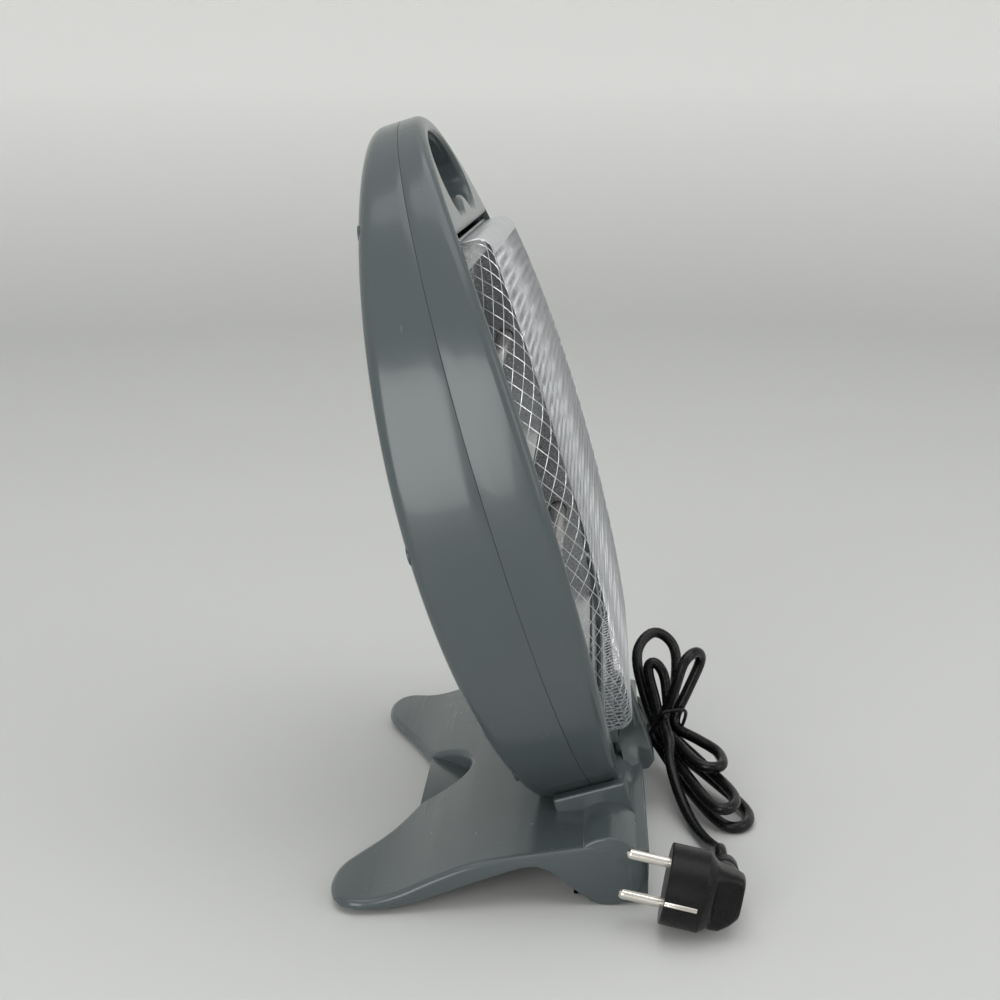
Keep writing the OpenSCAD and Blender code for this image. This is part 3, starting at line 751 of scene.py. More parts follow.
class Finishes(Enum):
    """The heater's finishes, by the record's slots."""

    grey_plastic = MouldedPlastic((0.062, 0.077, 0.081), (0.076, 0.092, 0.096), rough=0.22,
                                  cloud=14, grain=2400, grain_depth=0.00002, specular=0.4)
    grey_knob = MouldedPlastic((0.062, 0.077, 0.081), (0.076, 0.092, 0.096), rough=0.33,
                               grain=2400, grain_depth=0.00002, wave=0.0002)
    black_plastic = Finish((0.016, 0.016, 0.017), (0.030, 0.030, 0.032), 0.5)
    natural_plastic = Finish((0.62, 0.57, 0.42), (0.72, 0.68, 0.55), 0.42)
    black_rubber = Finish((0.012, 0.012, 0.012), (0.026, 0.026, 0.026), 0.7, grain=900,
                          grain_depth=0.0001)
    # zinc plate's own tone, darkened further as painted shade for the grille frame inside the head
    zinc_steel = Finish((0.30, 0.31, 0.32), (0.42, 0.43, 0.44), 0.36, metal=1.0, cloud=120)
    spring_steel = Finish((0.48, 0.49, 0.50), (0.62, 0.63, 0.64), 0.28, metal=1.0, cloud=120)
    bright_wire = Finish((0.50, 0.51, 0.53), (0.68, 0.69, 0.71), 0.36, metal=0.8, cloud=90,
                         grain=1200)
    # brushed aluminium's own tone, darkened further as painted shade of the head's interior seen
    # through the mesh
    polished_aluminium = Finish((0.40, 0.41, 0.42), (0.54, 0.55, 0.56), 0.26, rough_spread=0.14,
                                metal=1.0, cloud=18, grain=500, grain_depth=0.00006,
                                stretch=(1, 0.08, 1))
    quartz_glass = ClearGlass((0.86, 0.87, 0.88), (0.93, 0.94, 0.95), 0.07, rough_spread=0.05)
    resistance_wire = Finish((0.10, 0.085, 0.075), (0.20, 0.17, 0.15), 0.5, metal=0.8, cloud=200)
    ceramic = Finish((0.60, 0.57, 0.50), (0.72, 0.69, 0.62), 0.6, cloud=60)
    aluminised_steel = Finish((0.34, 0.35, 0.36), (0.48, 0.49, 0.50), 0.42, metal=1.0, cloud=60,
                              grain=700, grain_depth=0.00008)
    wire_insulation = Finish((0.12, 0.07, 0.04), (0.20, 0.12, 0.07), 0.45)
    black_cord = Finish((0.003, 0.003, 0.0033), (0.006, 0.006, 0.0065), 0.27, cloud=70,
                        grain=1600, specular=0.3)
    black_tie = Finish((0.003, 0.003, 0.003), (0.006, 0.006, 0.006), 0.3, specular=0.3)
    black_plug = Finish((0.004, 0.004, 0.0045), (0.009, 0.009, 0.0095), 0.28, cloud=50,
                        grain=2200, grain_depth=0.00003, specular=0.2)
    nickel = Finish((0.66, 0.63, 0.57), (0.80, 0.77, 0.71), 0.20, metal=1.0, cloud=160)


def dress(obj: Object, look: Finishes) -> None:
    """Gives an object one finish.

    Args:
        obj: The object.
        look: The finish.
    """
    if look.name not in MATERIALS:
        MATERIALS[look.name] = look.value.material(look.name)
    obj.data.materials.clear()
    obj.data.materials.append(MATERIALS[look.name])


def deliver(obj: Object, look: Finishes, *nodes: str, body: Body = Body.HEATER) -> Object:
    """Dresses a finished piece, fixes it to its body and reports it.

    Args:
        obj: The piece.
        look: Its finish.
        *nodes: The solids it stands for.
        body: The body it rides on.

    Returns:
        The same piece.
    """
    dress(obj, look)
    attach(obj, body.value)
    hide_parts(*nodes)
    LOG.info("%s on %s", obj.name, body.value)
    return obj


# ---------- cord and plug ----------


@dataclass
class MainsCord:
    """Cord, hank, twist tie and plug, on the route of the solids."""

    radius: float = 3.0
    lead: tuple[Spot, ...] = (
        (-8, 102, 12), (-8, 106, 11.8), (-7.8, 114, 7.8), (-6.5, 123, 4.6), (-3, 133, 3.4),
        (4, 142, 3.3), (14, 147, 3.3), (25, 145, 3.3), (34, 137, 3.3), (38, 124, 3.3),
        (40, 108, 3.3), (41, 94, 4.2), (41, 82, 8), (40, 70, 14))
    tail: tuple[Spot, ...] = (
        (47, 2, 22), (51, -14, 11.5), (57, -34, 4.4), (63, -53, 3.9), (67, -70, 8),
        (67.2, -81, 13.5))
    hank_start: Spot = (-1.5, 12, 1)
    hank_end: Spot = (2.6, 12, 1.6)
    hank_bend: float = 0.6
    line_steps: int = 6
    least_step: float = 0.8
    ease_rounds: int = 2
    run_out: float = 8.0
    line_gap: float = 0.25
    into_plug: float = 3.0
    tie_at: Spot = (46.5, 36.0, 27.4)
    tie_way: Spot = (-0.25, 0.80, 0.55)
    tie_side: Spot = (1, 0.3, 0)
    tie_radius: float = 1.0
    tie_room: Flat = (2.5, 2.8)
    tie_turn: Flat = (196.0, 344.0)
    tie_climb: float = 2.4
    tie_steps: int = 24
    layer_step: float = 8.1
    side_step: float = 3.6
    # for each strand at the tie: its layer and its side
    layers: tuple[int, ...] = (0, 0, 1, 1, 2, 2, 3)
    sides: tuple[int, ...] = (-1, 1, -1, 1, -1, 1, -1)
    # for each turn: lies or stands, its tip, half width, sideways direction
    turns: tuple[tuple[bool, Spot, float, Spot], ...] = (
        (True, (84, -33, 3.3), 11.5, (0.64, 0.77, 0)),
        (False, (39.9, 71.7, 71.9), 11.3, (0.99, 0.1, 0.2)),
        (True, (76.6, -34.8, 14), 10, (0.59, 0.81, 0)),
        (False, (39.2, 50.3, 61.3), 6.2, (0.73, -0.68, 0.2)),
        (True, (74, -2.5, 22.5), 10.6, (0.5, 0.86, 0)),
        (False, (61.5, 37.4, 72.3), 6.1, (0.85, 0.53, 0.1)))
    early_share: float = 0.42
    early_wide: float = 0.8
    tip_share: float = 0.95
    sag: float = 1.7
    standing_up: Spot = (0, -0.83, 0.55)
    plug_at: Spot = (38.0, -132.4, 22.5)
    plug_turn: Spot = (-9.0, 10.0, -4.9)
    # sections of the plug: back from its face, half width, half height, shift up, squareness
    drum: tuple[tuple[float, ...], ...] = (
        (0.0, 0.0, 0.0, 0.0, 1.0), (0.0, 17.9, 17.9, 0.0, 1.0), (0.5, 18.4, 18.4, 0.0, 1.0),
        (17.4, 18.4, 18.4, 0.0, 1.0), (18.0, 18.1, 18.1, 0.0, 1.0),
        (20.8, 15.4, 15.6, -0.2, 1.0), (21.3, 14.6, 15.2, -0.3, 0.95),
        (22.4, 11.6, 14.6, -0.6, 0.6), (26.5, 10.4, 13.9, -1.0, 0.5),
        (31.0, 9.0, 12.0, 0.2, 0.5), (33.6, 8.2, 10.0, 1.2, 0.5), (34.5, 7.4, 9.0, 1.3, 0.55),
        (34.7, 6.6, 8.2, 1.3, 0.6), (34.7, 0.0, 0.0, 1.3, 1.0))
    neck: Flat = (27.0, 37.0)
    knuckle: tuple[Flat, Flat] = ((5.0, 2.6), (35.4, 2.2))
    knuckle_radius: float = 6.9
    knuckle_round: float = 2.6
    rib_count: int = 5
    rib_at: Flat = (23.0, 2.3)
    rib_step: float = 2.3
    rib_wide: float = 1.2
    rib_rise: float = 0.4
    rib_taper: float = 0.16
    clip_span: Flat = (0.3, 15.0)
    clip_ring: float = 18.25
    clip_angles: Flat = (9.0, 12.0)
    clip_radius: float = 0.72

    def __post_init__(self) -> None:
        """Works out the directions at the tie."""
        self.way = unit(self.tie_way)
        lean = np.array(self.tie_side)
        self.side = unit(lean - self.way * (lean @ self.way))
        self.up = np.cross(self.side, self.way)

    def strand(self, k: int) -> Rows:
        """Place of strand k where the tie holds the hank."""
        return (np.array(self.tie_at) + self.side * self.sides[k] * self.side_step
                + self.up * (self.layers[k] - 1.5) * self.layer_step)

    def turn(self, k: int) -> list[Rows]:
        """Points of one strand and the turn that follows it.

        Args:
            k: The strand's number.

        Returns:
            Six points.
        """
        lies, tip, half, sideways = self.turns[k]
        tip = np.array(tip, float)
        across = unit(sideways) * self.sides[k]
        middle = (self.strand(k) + self.strand(k + 1)) / 2
        up = np.array((0, 0, 1) if lies else self.standing_up)
        lift = up * (self.layers[k + 1] - self.layers[k]) / 2 * self.layer_step
        way = tip - middle
        spots = []
        for share in (self.early_share, 1 - self.tip_share * half / np.linalg.norm(way)):
            spot = middle + way * share
            if lies:
                spot[2] = tip[2] + (middle[2] - tip[2]) * (1 - share) ** self.sag
            spots.append(spot)
        early, late = spots
        narrow = across * half * self.early_wide
        return [self.strand(k), early + narrow - lift, late + across * half - lift, tip,
                late - across * half + lift, early - narrow + lift]

    def turned(self, p: Sequence[float]) -> Rows:
        """Turns a direction of the plug into the heater's directions."""
        roll, tip, yaw = (Matrix.Rotation(math.radians(a), 3, axis)
                          for a, axis in zip(self.plug_turn, "XYZ"))
        return np.array(yaw @ tip @ roll @ Vector(p))

    def route(self) -> Rows:
        """The whole cord's line, from the strain relief to the plug, in metres.

        Returns:
            Points of the line.
        """
        aside, back, rise = self.hank_end
        start = self.strand(0) + np.array(self.hank_start)
        end = self.strand(6) - self.side * aside - self.way * back + self.up * rise
        turns = [p for k in range(len(self.turns)) for p in self.turn(k)]
        last_strand = self.strand(6) - self.side * self.hank_bend
        hank = smooth_line([start, *turns, last_strand, end], self.line_steps)
        first, last = unit(hank[1] - hank[0]), unit(hank[-1] - hank[-2])
        lead = smooth_line([*self.lead, start - first * self.run_out,
                            start - first * self.line_gap], self.line_steps)
        way = self.turned((0, -1, 0))
        mouth = np.array(self.plug_at) + self.turned((*self.neck, 0))
        tail = smooth_line([end + last * self.line_gap, end + last * self.run_out, *self.tail,
                            mouth - way * self.run_out, mouth + way * self.into_plug],
                           self.line_steps)
        line = np.vstack([lead, hank, tail]) + np.array((FORWARD, 0, 0))
        kept = [line[0]]
        for p in line[1:]:
            if np.linalg.norm(p - kept[-1]) > self.least_step:
                kept.append(p)
        eased = np.array(kept)
        for _ in range(self.ease_rounds):
            eased[1:-1] = 0.5 * eased[1:-1] + 0.25 * (eased[:-2] + eased[2:])
        return eased * MM

    def tie_line(self) -> Rows:
        """Line of the twist tie: an end, a squarish turn round the hank, and the other end.

        Returns:
            Points of the line, in metres.
        """
        a = self.side_step + self.radius + self.tie_room[0]
        b = 1.5 * self.layer_step + self.radius + self.tie_room[1]
        start, sweep = self.tie_turn
        low = -self.tie_climb / 2
        spots = [(-a - 2, -13, low), (-a - 1, -7.5, low)]
        for i in range(self.tie_steps + 1):
            t = math.radians(start - sweep * i / self.tie_steps)
            c, s = (math.copysign(math.sqrt(abs(v)), v) for v in (math.cos(t), math.sin(t)))
            spots.append((a * c, b * s, low + self.tie_climb * i / self.tie_steps))
        spots += [(-a - 1.2, -9, 1.6), (-a - 2.6, -13, 3)]
        line = np.array(self.tie_at) + np.array(spots) @ np.array((self.side, self.up, self.way))
        return (smooth_line(line, 3) + np.array((FORWARD, 0, 0))) * MM

    def on_plug(self, back: float, side: float, high: float) -> Vector:
        """A place of the plug, back from its face, sideways and up, in metres."""
        at = np.array(self.plug_at) + np.array((FORWARD, 0, 0)) + self.turned((back, side, high))
        return Vector(at) * MM

    def plug(self) -> Object:
        """The plug: a round drum with a chamfer, a tapered grip and a ribbed knuckle.

        Returns:
            The plug.
        """
        t = full_turn(96)
        rows = []
        for back, wide, high, shift, square in self.drum:
            y, z = (half * np.sign(f(t)) * abs(f(t)) ** square
                    for half, f in ((wide, np.cos), (high, np.sin)))
            rows.append([self.on_plug(back, a, shift + b) for a, b in zip(y, z)])
        neck = self.neck[0]
        parts = [faced(laid_sheet("plug_drum", rows, ring=True)),
                 round_bar("knuckle", *(self.on_plug(neck, *at) for at in self.knuckle),
                           self.knuckle_radius * MM, 64, self.knuckle_round * MM)]
        y, high = self.rib_at
        for i in range(self.rib_count):
            low, wide = y + self.rib_step * i, self.rib_wide
            radius = self.knuckle_radius + self.rib_rise - self.rib_taper * i
            parts.append(round_bar("knuckle_rib", self.on_plug(neck, low, high),
                                   self.on_plug(neck, low + wide, high), radius * MM, 64,
                                   0.3 * MM))
        return smooth(joined("plug_housing", parts), 26)

    def earth_clips(self) -> Object:
        """The narrow earth clips on both sides of the drum.

        Returns:
            The clips.
        """
        clips = []
        for side in (-1, 1):
            for angle in np.radians(self.clip_angles):
                y, z = (self.clip_ring * side * f(angle) for f in (math.cos, math.sin))
                clips.append(round_bar("clip", *(self.on_plug(x, y, z) for x in self.clip_span),
                                       self.clip_radius * MM, 20, 0.25 * MM))
        return smooth(joined("earth_clips", clips))

    def build(self) -> None:
        """Makes the cord, its tie, its plug and the sleeve where it leaves the base."""
        line = self.route()
        cord = wire("mains_cord", [line], self.radius * MM, 5)
        deliver(cord, Finishes.black_cord, "cord_lead", "cord_hank", "cord_tail")
        tie = wire("twist_tie", [self.tie_line()], self.tie_radius * MM, 3)
        deliver(tie, Finishes.black_tie, "cord_tie")
        plug = deliver(self.plug(), Finishes.black_plug, "plug_body")
        clips = deliver(self.earth_clips(), Finishes.nickel, "plug_earth_clips")
        deliver(softened("cord_sleeve", "strain_relief", 0.0004, 4), Finishes.black_cord,
                "strain_relief")


# ---------- head ----------


@dataclass
class Head:
    """The leaning oval head: rear shell, front shell, mesh, knob and neck bracket.

    A place on the head has a depth towards its front, a distance sideways from its middle and
    a distance s along it from its foot.
    """

    half_wide: float = 137.0
    long: float = 355.0
    lean: float = 16.93
    foot: Flat = (61.5, 20.7)
    bulge: float = 14.7
    back_foot: float = 36.0
    back_taper: float = 10.0
    back_bulge: float = 18.6
    seam: float = -11.0
    seam_gap: float = 0.07
    # for each ring: how far it is drawn in, and its depth from the seam
    seam_rows: tuple[Flat, ...] = ((2.4, 0.0), (0.25, 0.0), (0.06, 0.08), (0.0, 0.3))
    front_round: float = 4.6
    # inside the rim: inset beyond its rounding, depth from the rim
    ledge: tuple[Flat, ...] = ((0.35, 0.0), (0.75, -0.15), (1.0, -0.55), (1.1, -4.0),
                               (5.9, -4.2), (6.1, -9.5))
    back_round: float = 6.0
    wall: float = 2.2
    around: int = 240
    back_rows: tuple[float, ...] = (1.0, 0.93, 0.84, 0.74, 0.62, 0.5, 0.38, 0.26, 0.14, 0.04, 0.0)
    slot_sets: Flat = (62.0, 232.0)
    slot_count: int = 6
    slot_step: float = 9.0
    slot_half: float = 42.0
    slot_round: float = 1.8
    slot_cut: Flat = (-80.0, -30.0)
    cup_rows: Spot = (46.0, 175.0, 310.0)
    cup_inset: float = 7.0
    cup_round: float = 4.3
    cup_cut: Flat = (-90.0, -44.0)
    cup_proud: float = 0.05
    # for each ring of a cup: radius, depth from the back
    cup_steps: tuple[Flat, ...] = ((4.6, -1.4), (4.3, 0.2), (4.3, 7.1), (4.2, 7.2), (0.0, 7.2))
    panel_low: float = 298.0
    panel_inset: float = 0.2
    # edges of the top and chin panels: place along the head from the edge, depth from the rim
    panel_lip: tuple[Flat, ...] = ((0.0, -10.0), (0.0, -2.4), (0.3, -1.2), (1.1, -0.35),
                                   (2.4, 0.0))
    chin_high: float = 52.0
    chin_inset: float = 0.6
    chin_depth: float = -3.0
    chin_lip: tuple[Flat, ...] = ((-1.0, -3.25), (-0.3, -3.9), (0.0, -5.0), (0.0, -10.0))
    hand_low: float = 305.0
    hand_half: float = 56.0
    hand_rise: float = 26.0
    hand_round: float = 3.0
    hand_arch: float = 15.0
    hand_cut: Flat = (-80.0, 20.0)
    front_cut: Flat = (-9.6, 40.4)
    # lower edge: share of the half width, height, drop as the opening grows
    hand_lower: tuple[Spot, ...] = ((0.93, 7, 0.4), (0.72, 1.5, 1), (0.54, 0, 1),
                                    (0.32, 1.5, 1), (0.16, 6.5, 1), (0, 8.5, 1))
    knob_at: Spot = (58.440, 0.0, 42.242)
    knob_way: Spot = (0.988632, 0.0, 0.150356)
    knob_ball: Flat = (-8.0, 31.5)
    pad_span: Flat = (-13.0, 0.3)
    pad_radius: float = 24.6
    bore_span: Flat = (-3.0, 4.0)
    bore_radius: float = 17.3
    pad_low: float = 23.8
    mesh_inset: float = 9.0
    mesh_span: Flat = (54.5, 294.0)
    mesh_high: float = 11.6
    mesh_bend: float = 6.0
    mesh_foot: float = 3.0
    edge_points: int = 720
    edge_step: float = 0.4
    edge_rounds: int = 30
    mesh_pitch: Flat = (6.2, 10.0)
    mesh_narrowing: float = 0.6
    narrow_least: float = 60.0
    sheet_half: float = 150.0
    sheet_span: Flat = (30.0, 330.0)
    strand: float = 0.18
    strand_reach: float = 0.3
    strip_thick: float = 0.5
    strip_short: float = 5.0
    # hem strip on the mesh's wall: distance down the head, depth from the rim
    strip_wall: tuple[Flat, ...] = ((0.0, -3.0), (0.0, 0.2), (0.0, 3.4))
    strip_rise: float = 3.9
    strip_flat: float = 2.2

    def __post_init__(self) -> None:
        """Works out the oval's middle and the leaning head's directions."""
        self.middle = self.long / 2
        self.upright, self.leaning = (f(math.radians(self.lean)) for f in (math.cos, math.sin))
        self.outward = Vector((self.upright, 0, self.leaning))

    def rim(self, s: Any) -> Any:
        """Depth of the front rim at s."""
        u = s / self.long
        return self.bulge * 4 * u * (1 - u)

    def back(self, s: Any) -> Any:
        """Depth of the back at s."""
        u = s / self.long
        return -(self.back_foot - self.back_taper * u) - self.back_bulge * 4 * u * (1 - u)

    def outline(self, inset: float, count: int | None = None) -> tuple[Rows, Rows]:
        """Sideways and along places of the oval, drawn in by a distance."""
        t = full_turn(count or self.around)
        return (self.half_wide - inset) * np.cos(t), self.middle + (self.middle - inset) * np.sin(t)

    def half_at(self, s: Any, inset: float) -> Any:
        """Half width of the oval at s, drawn in by a distance."""
        return (self.half_wide - inset) * np.sqrt(
            np.maximum(0, 1 - ((s - self.middle) / (self.middle - inset)) ** 2))

    def place(self, depth: Any, side: Any, along: Any) -> Rows:
        """Places of the head in the heater's frame, in metres.

        Args:
            depth: Towards the head's front.
            side: Sideways.
            along: Up along the head.

        Returns:
            Points.
        """
        depth, side, along = np.broadcast_arrays(*(np.asarray(v, float)
                                                   for v in (depth, side, along)))
        return np.stack([self.foot[0] - self.leaning * along + self.upright * depth, side,
                         self.foot[1] + self.upright * along + self.leaning * depth],
                        axis=-1) * MM

    def hand(self, grow: float) -> Rows:
        """The hand opening's outline, grown by a distance: an arch over two dips and a hump.

        Args:
            grow: The distance.

        Returns:
            Sideways and along places.
        """
        half = self.hand_half + grow
        arch = [(half * math.cos(a), self.hand_low + self.hand_arch
                 + (self.hand_rise + grow) * math.sin(a)) for a in np.linspace(0, math.pi, 17)]
        half_line = [(share, self.hand_low + (high - drop * grow))
                     for share, high, drop in self.hand_lower]
        lower = [(-half * share, s) for share, s in half_line]
        lower += [(half * share, s) for share, s in half_line[-2::-1]]
        return smooth_loop(np.array(arch + lower), 4).T

    def skin(self, name: str, rings: Sequence[Ring], path: Callable[[float], Any]) -> Object:
        """A skin of rings.

        Args:
            name: The new object's name.
            rings: For each ring: distance from the path and depth as a function of s.
            path: Gives sideways and along places for a distance.

        Returns:
            The skin.
        """
        rows = []
        for distance, depth in rings:
            y, s = path(distance)
            rows.append(self.place(depth(s), y, s))
        return laid_sheet(name, rows, ring=True)

    def side_rings(self, way: int, face: Depth, radius: float, shares: Sequence[float],
                   degrees: Sequence[float]) -> list[Ring]:
        """Rings from a shell's seam along its side wall and round its edge.

        Args:
            way: 1 for the front shell, -1 for the rear shell.
            face: Depth of the face behind the edge.
            radius: Radius of the edge.
            shares: Places of the wall's rings, as shares of its depth.
            degrees: Angles of the edge's rings.

        Returns:
            The rings.
        """
        seam = self.seam + way * self.seam_gap / 2
        start = seam + way * self.seam_rows[-1][1]
        rings = [(inset, level(seam + way * shift)) for inset, shift in self.seam_rows]
        rings += [(0.0, lambda s, f=f: start * (1 - f) + (face(s) - way * radius) * f)
                  for f in shares]
        return rings + [(inset, lambda s, drop=drop: face(s) - way * drop)
                        for inset, drop in rounding(radius, degrees)]

    def cutter(self, name: str, span: Flat, outline: Any) -> Object:
        """A tool shape with an outline, between two depths."""
        low, high = span
        return prism(name, self.place(low, *outline), self.outward * ((high - low) * MM))

    def cups(self) -> list[Flat]:
        """Middles of the back's screw cups, sideways and along."""
        return [(side * float(self.half_at(s, self.cup_inset)), s) for s in self.cup_rows
                for side in (-1, 1)]

    def back_tools(self) -> Object:
        """What the hand opening, the air slots and the screw cups take out of the back.

        Returns:
            The tools, joined.
        """
        tools = [self.cutter("hand_tool", self.hand_cut, self.hand(self.hand_round))]
        r = self.slot_round
        for low in self.slot_sets:
            for i in range(self.slot_count):
                middle = low + self.slot_step * i + r
                right = [(self.slot_half - r + r * math.cos(a), r * math.sin(a))
                         for a in np.linspace(-math.pi / 2, math.pi / 2, 7)]
                ring = np.array(right + [(-y, -s) for y, s in right]) + (0, middle)
                tools.append(self.cutter("slot_tool", self.slot_cut, ring.T))
        t = full_turn(24)
        for y, s in self.cups():
            ring = (y + self.cup_round * np.cos(t), s + self.cup_round * np.sin(t))
            tools.append(self.cutter("cup_tool", self.cup_cut, ring))
        return joined("back_tools", tools)

    def screw_cups(self) -> Object:
        """Round recesses round the screws of the back.

        Returns:
            The cups.
        """
        t = full_turn(24)
        cups = []
        for y, s in self.cups():
            rows = []
            for radius, step in self.cup_steps:
                along = s + radius * np.sin(t)
                depth = np.maximum(self.back(s) + step, self.back(along) + self.cup_proud)
                rows.append(self.place(depth, y + radius * np.cos(t), along))
            cups.append(laid_sheet("cup", rows, ring=True))
        return joined("cups", cups)

    def rear_shell(self) -> Object:
        """Rear shell: side wall, rounded back edge, back with air slots and screw cups.

        Returns:
            The shell.
        """
        side = self.skin("rear_shell_skin",
                         self.side_rings(-1, self.back, self.back_round, (0.2, 0.4, 0.6, 0.8, 1.0),
                                         range(15, 91, 15)), self.outline)
        y, s = self.outline(self.back_round)
        spans = [(y * f, self.middle + (s - self.middle) * f) for f in self.back_rows]
        panel = laid_sheet("back_panel", [self.place(self.back(ss), yy, ss) for yy, ss in spans],
                           ring=True)
        shell = faced(joined("rear_shell_skin", [side, panel]))
        finish(shell, "SOLIDIFY", thickness=self.wall * MM, offset=-1)
        shape_with(shell, self.back_tools())
        edge, r = self.seam - self.seam_gap / 2, self.hand_round
        rings = [(0.6, level(edge)), (0.0, level(edge - 0.4)), (0.0, lambda s: self.back(s) + r)]
        rings += [(grow, lambda s, rise=rise: self.back(s) + rise)
                  for grow, rise in rounding(r, range(18, 91, 18))]
        collar = self.skin("rear_collar", rings, self.hand)
        return smooth(joined("rear_shell_skin", [shell, self.screw_cups(), collar]))

    def panel(self, name: str, spans: Sequence[Flat], inset: float) -> Object:
        """A sheet across the oval that follows the rim.

        Args:
            name: The new object's name.
            spans: For each row: place along the head and depth from the rim.
            inset: Distance of its sides from the outline.

        Returns:
            The sheet.
        """
        rows = []
        for s, shift in spans:
            half = float(self.half_at(s, inset))
            rows.append(self.place(self.rim(s) + shift, np.linspace(-half, half, 49), s))
        return faced(laid_sheet(name, rows))

    def front_shell(self) -> Object:
        """Front shell: rounded rim, ledge, top panel with the hand opening and chin panel.

        Returns:
            The shell.
        """
        r = self.front_round
        rings = self.side_rings(1, self.rim, r, (0.34, 0.67, 1.0), range(12, 85, 12))
        rings += [(r + inset, lambda s, low=low: self.rim(s) + low) for inset, low in self.ledge]
        shell = faced(self.skin("front_shell_skin", rings, self.outline))
        low, high = self.panel_low, self.chin_high
        spans = [(low + s, depth) for s, depth in self.panel_lip]
        spans += [(s, 0.0) for s in np.linspace(low + 4, self.long - r - 0.4, 34)]
        top = self.panel("top_panel", spans, r + self.panel_inset)
        shape_with(top, self.cutter("hand_tool", self.front_cut, self.hand(self.hand_round)))
        spans = [(s, self.chin_depth) for s in np.linspace(r + 1.2, high - 2.2, 22)]
        spans += [(high + s, depth) for s, depth in self.chin_lip]
        chin = self.panel("chin_panel", spans, r + self.chin_inset)
        edge = self.seam + self.seam_gap / 2
        rings = [(grow, lambda s, drop=drop: self.rim(s) - drop)
                 for drop, grow in rounding(self.hand_round, range(0, 91, 18))]
        collar = self.skin("front_collar", [*rings, (0.0, level(edge + 0.4)), (0.6, level(edge))],
                           self.hand)
        return smooth(joined("front_shell_skin", [shell, top, chin, collar, self.knob_pad()]))

    def mesh_edge(self) -> Rows:
        """Outline of the mesh's window, anticlockwise, with rounded corners.

        Returns:
            Sideways and along places.
        """
        y, s = self.outline(self.mesh_inset, self.edge_points)
        ring = np.stack([y, np.clip(s, *self.mesh_span)], axis=1)
        ring = ring[np.linalg.norm(ring - np.roll(ring, 1, axis=0), axis=1) > self.edge_step]
        for _ in range(self.edge_rounds):
            ring = 0.5 * ring + 0.25 * (np.roll(ring, 1, axis=0) + np.roll(ring, -1, axis=0))
        return ring

    def over_edge(self, spots: Rows, ring: Rows, out: Rows) -> tuple[Rows, Rows]:
        """Bends flat spots over the edge of the pressed pan.

        Args:
            spots: Sideways and along places on the flat sheet.
            ring: The pan's outline.
            out: The outline's outward directions.

        Returns:
            Places in the heater's frame, and how far each spot lies beyond the hem.
        """
        near = np.linalg.norm(spots[:, None] - ring[None], axis=2).argmin(axis=1)
        edge, out = ring[near], out[near]
        away = spots - edge
        along = np.stack([-out[:, 1], out[:, 0]], axis=1)
        inside = -(away * out).sum(axis=1)
        r = self.mesh_bend
        run = np.maximum(0, r - inside)
        bend = r * math.pi / 2
        angle = np.minimum(run, bend) / r
        inset = np.where(run > 0, r - r * np.sin(angle), inside)
        slide = along * (away * along).sum(axis=1)[:, None]
        flat = np.where((run > 0)[:, None], edge - out * inset[:, None] + slide, spots)
        drop = np.where(run > bend, run - bend, 0)
        wall = self.mesh_high - r + self.mesh_foot
        depth = (self.rim(flat[:, 1]) + self.mesh_high - r + r * np.cos(angle)
                 - np.minimum(drop, wall))
        return self.place(depth, flat[:, 0], flat[:, 1]), drop - wall

    def mesh(self) -> Object:
        """The stretched-metal mesh, pressed into a shallow pan with a hem wire.

        Returns:
            The mesh.
        """
        ring = self.mesh_edge()
        out = flat_normals(ring)
        across, along = self.mesh_pitch
        columns = int(self.sheet_half / across) + 1
        s = np.arange(*(int(end / along) * 4 for end in self.sheet_span)) * along / 4
        zigzag = 1 - abs(np.arange(len(s)) % 4 - 2) / 2
        narrow = (np.maximum(self.half_at(s, self.mesh_inset), self.narrow_least)
                  / (self.half_wide - self.mesh_inset)) ** self.mesh_narrowing
        lines = []
        for i in range(-columns, columns + 1):
            for side in (-1, 1):
                flat = np.stack([(i + side * zigzag / 2) * across * narrow, s], axis=1)
                points, beyond = self.over_edge(flat, ring, out)
                good = beyond < self.strand_reach
                starts = np.flatnonzero(np.diff(good)) + 1
                lines += [points[run] for run in np.split(np.arange(len(s)), starts)
                          if good[run[0]] and len(run) > 2]
        hem = ring[::3]
        pan = wire("mesh_pan", lines, self.strand * MM, 0, capped=False,
                   loops=[self.place(self.rim(hem[:, 1]) - self.mesh_foot, *hem.T)])
        pick_up(pan)
        bpy.ops.object.convert(target="MESH")
        return smooth(joined("mesh_pan", [bpy.context.active_object, *self.hem_strips()]), 60)

    def hem_strips(self) -> list[Object]:
        """Plain strips of sheet that edge the mesh next to the top panel.

        Returns:
            The strips.
        """
        r, high, top = self.mesh_bend, self.mesh_high, self.mesh_span[1]
        half = float(self.half_at(top, self.mesh_inset)) - self.strip_short
        bend = [(inset, high - drop) for inset, drop in rounding(r, range(0, 91, 18))]
        strips = []
        for profile in (self.strip_wall,
                        [(0.0, self.strip_rise), *bend, (r + self.strip_flat, high)]):
            rows = [self.place(self.rim(top - inset) + depth, np.linspace(-half, half, 61),
                               top - inset) for inset, depth in profile]
            strips.append(finish(laid_sheet("hem_strip", rows), "SOLIDIFY",
                                 thickness=self.strip_thick * MM, offset=0))
        return strips

    def on_knob_axis(self, depth: float) -> Vector:
        """A place on the knob's axis, in metres."""
        return Vector(self.knob_at) * MM + Vector(self.knob_way) * depth * MM

    def knob(self) -> Object:
        """The knob, its grip's corners rounded off as on a ball.

        Returns:
            The knob.
        """
        knob = softened("control_knob_skin", "control_knob", 0.00045, 5)
        depth, radius = self.knob_ball
        put_down()
        bpy.ops.mesh.primitive_uv_sphere_add(segments=96, ring_count=64, radius=radius * MM,
                                             location=self.on_knob_axis(depth))
        return smooth(shape_with(knob, settle(added("knob_ball")), Cut.KEEP), 30)

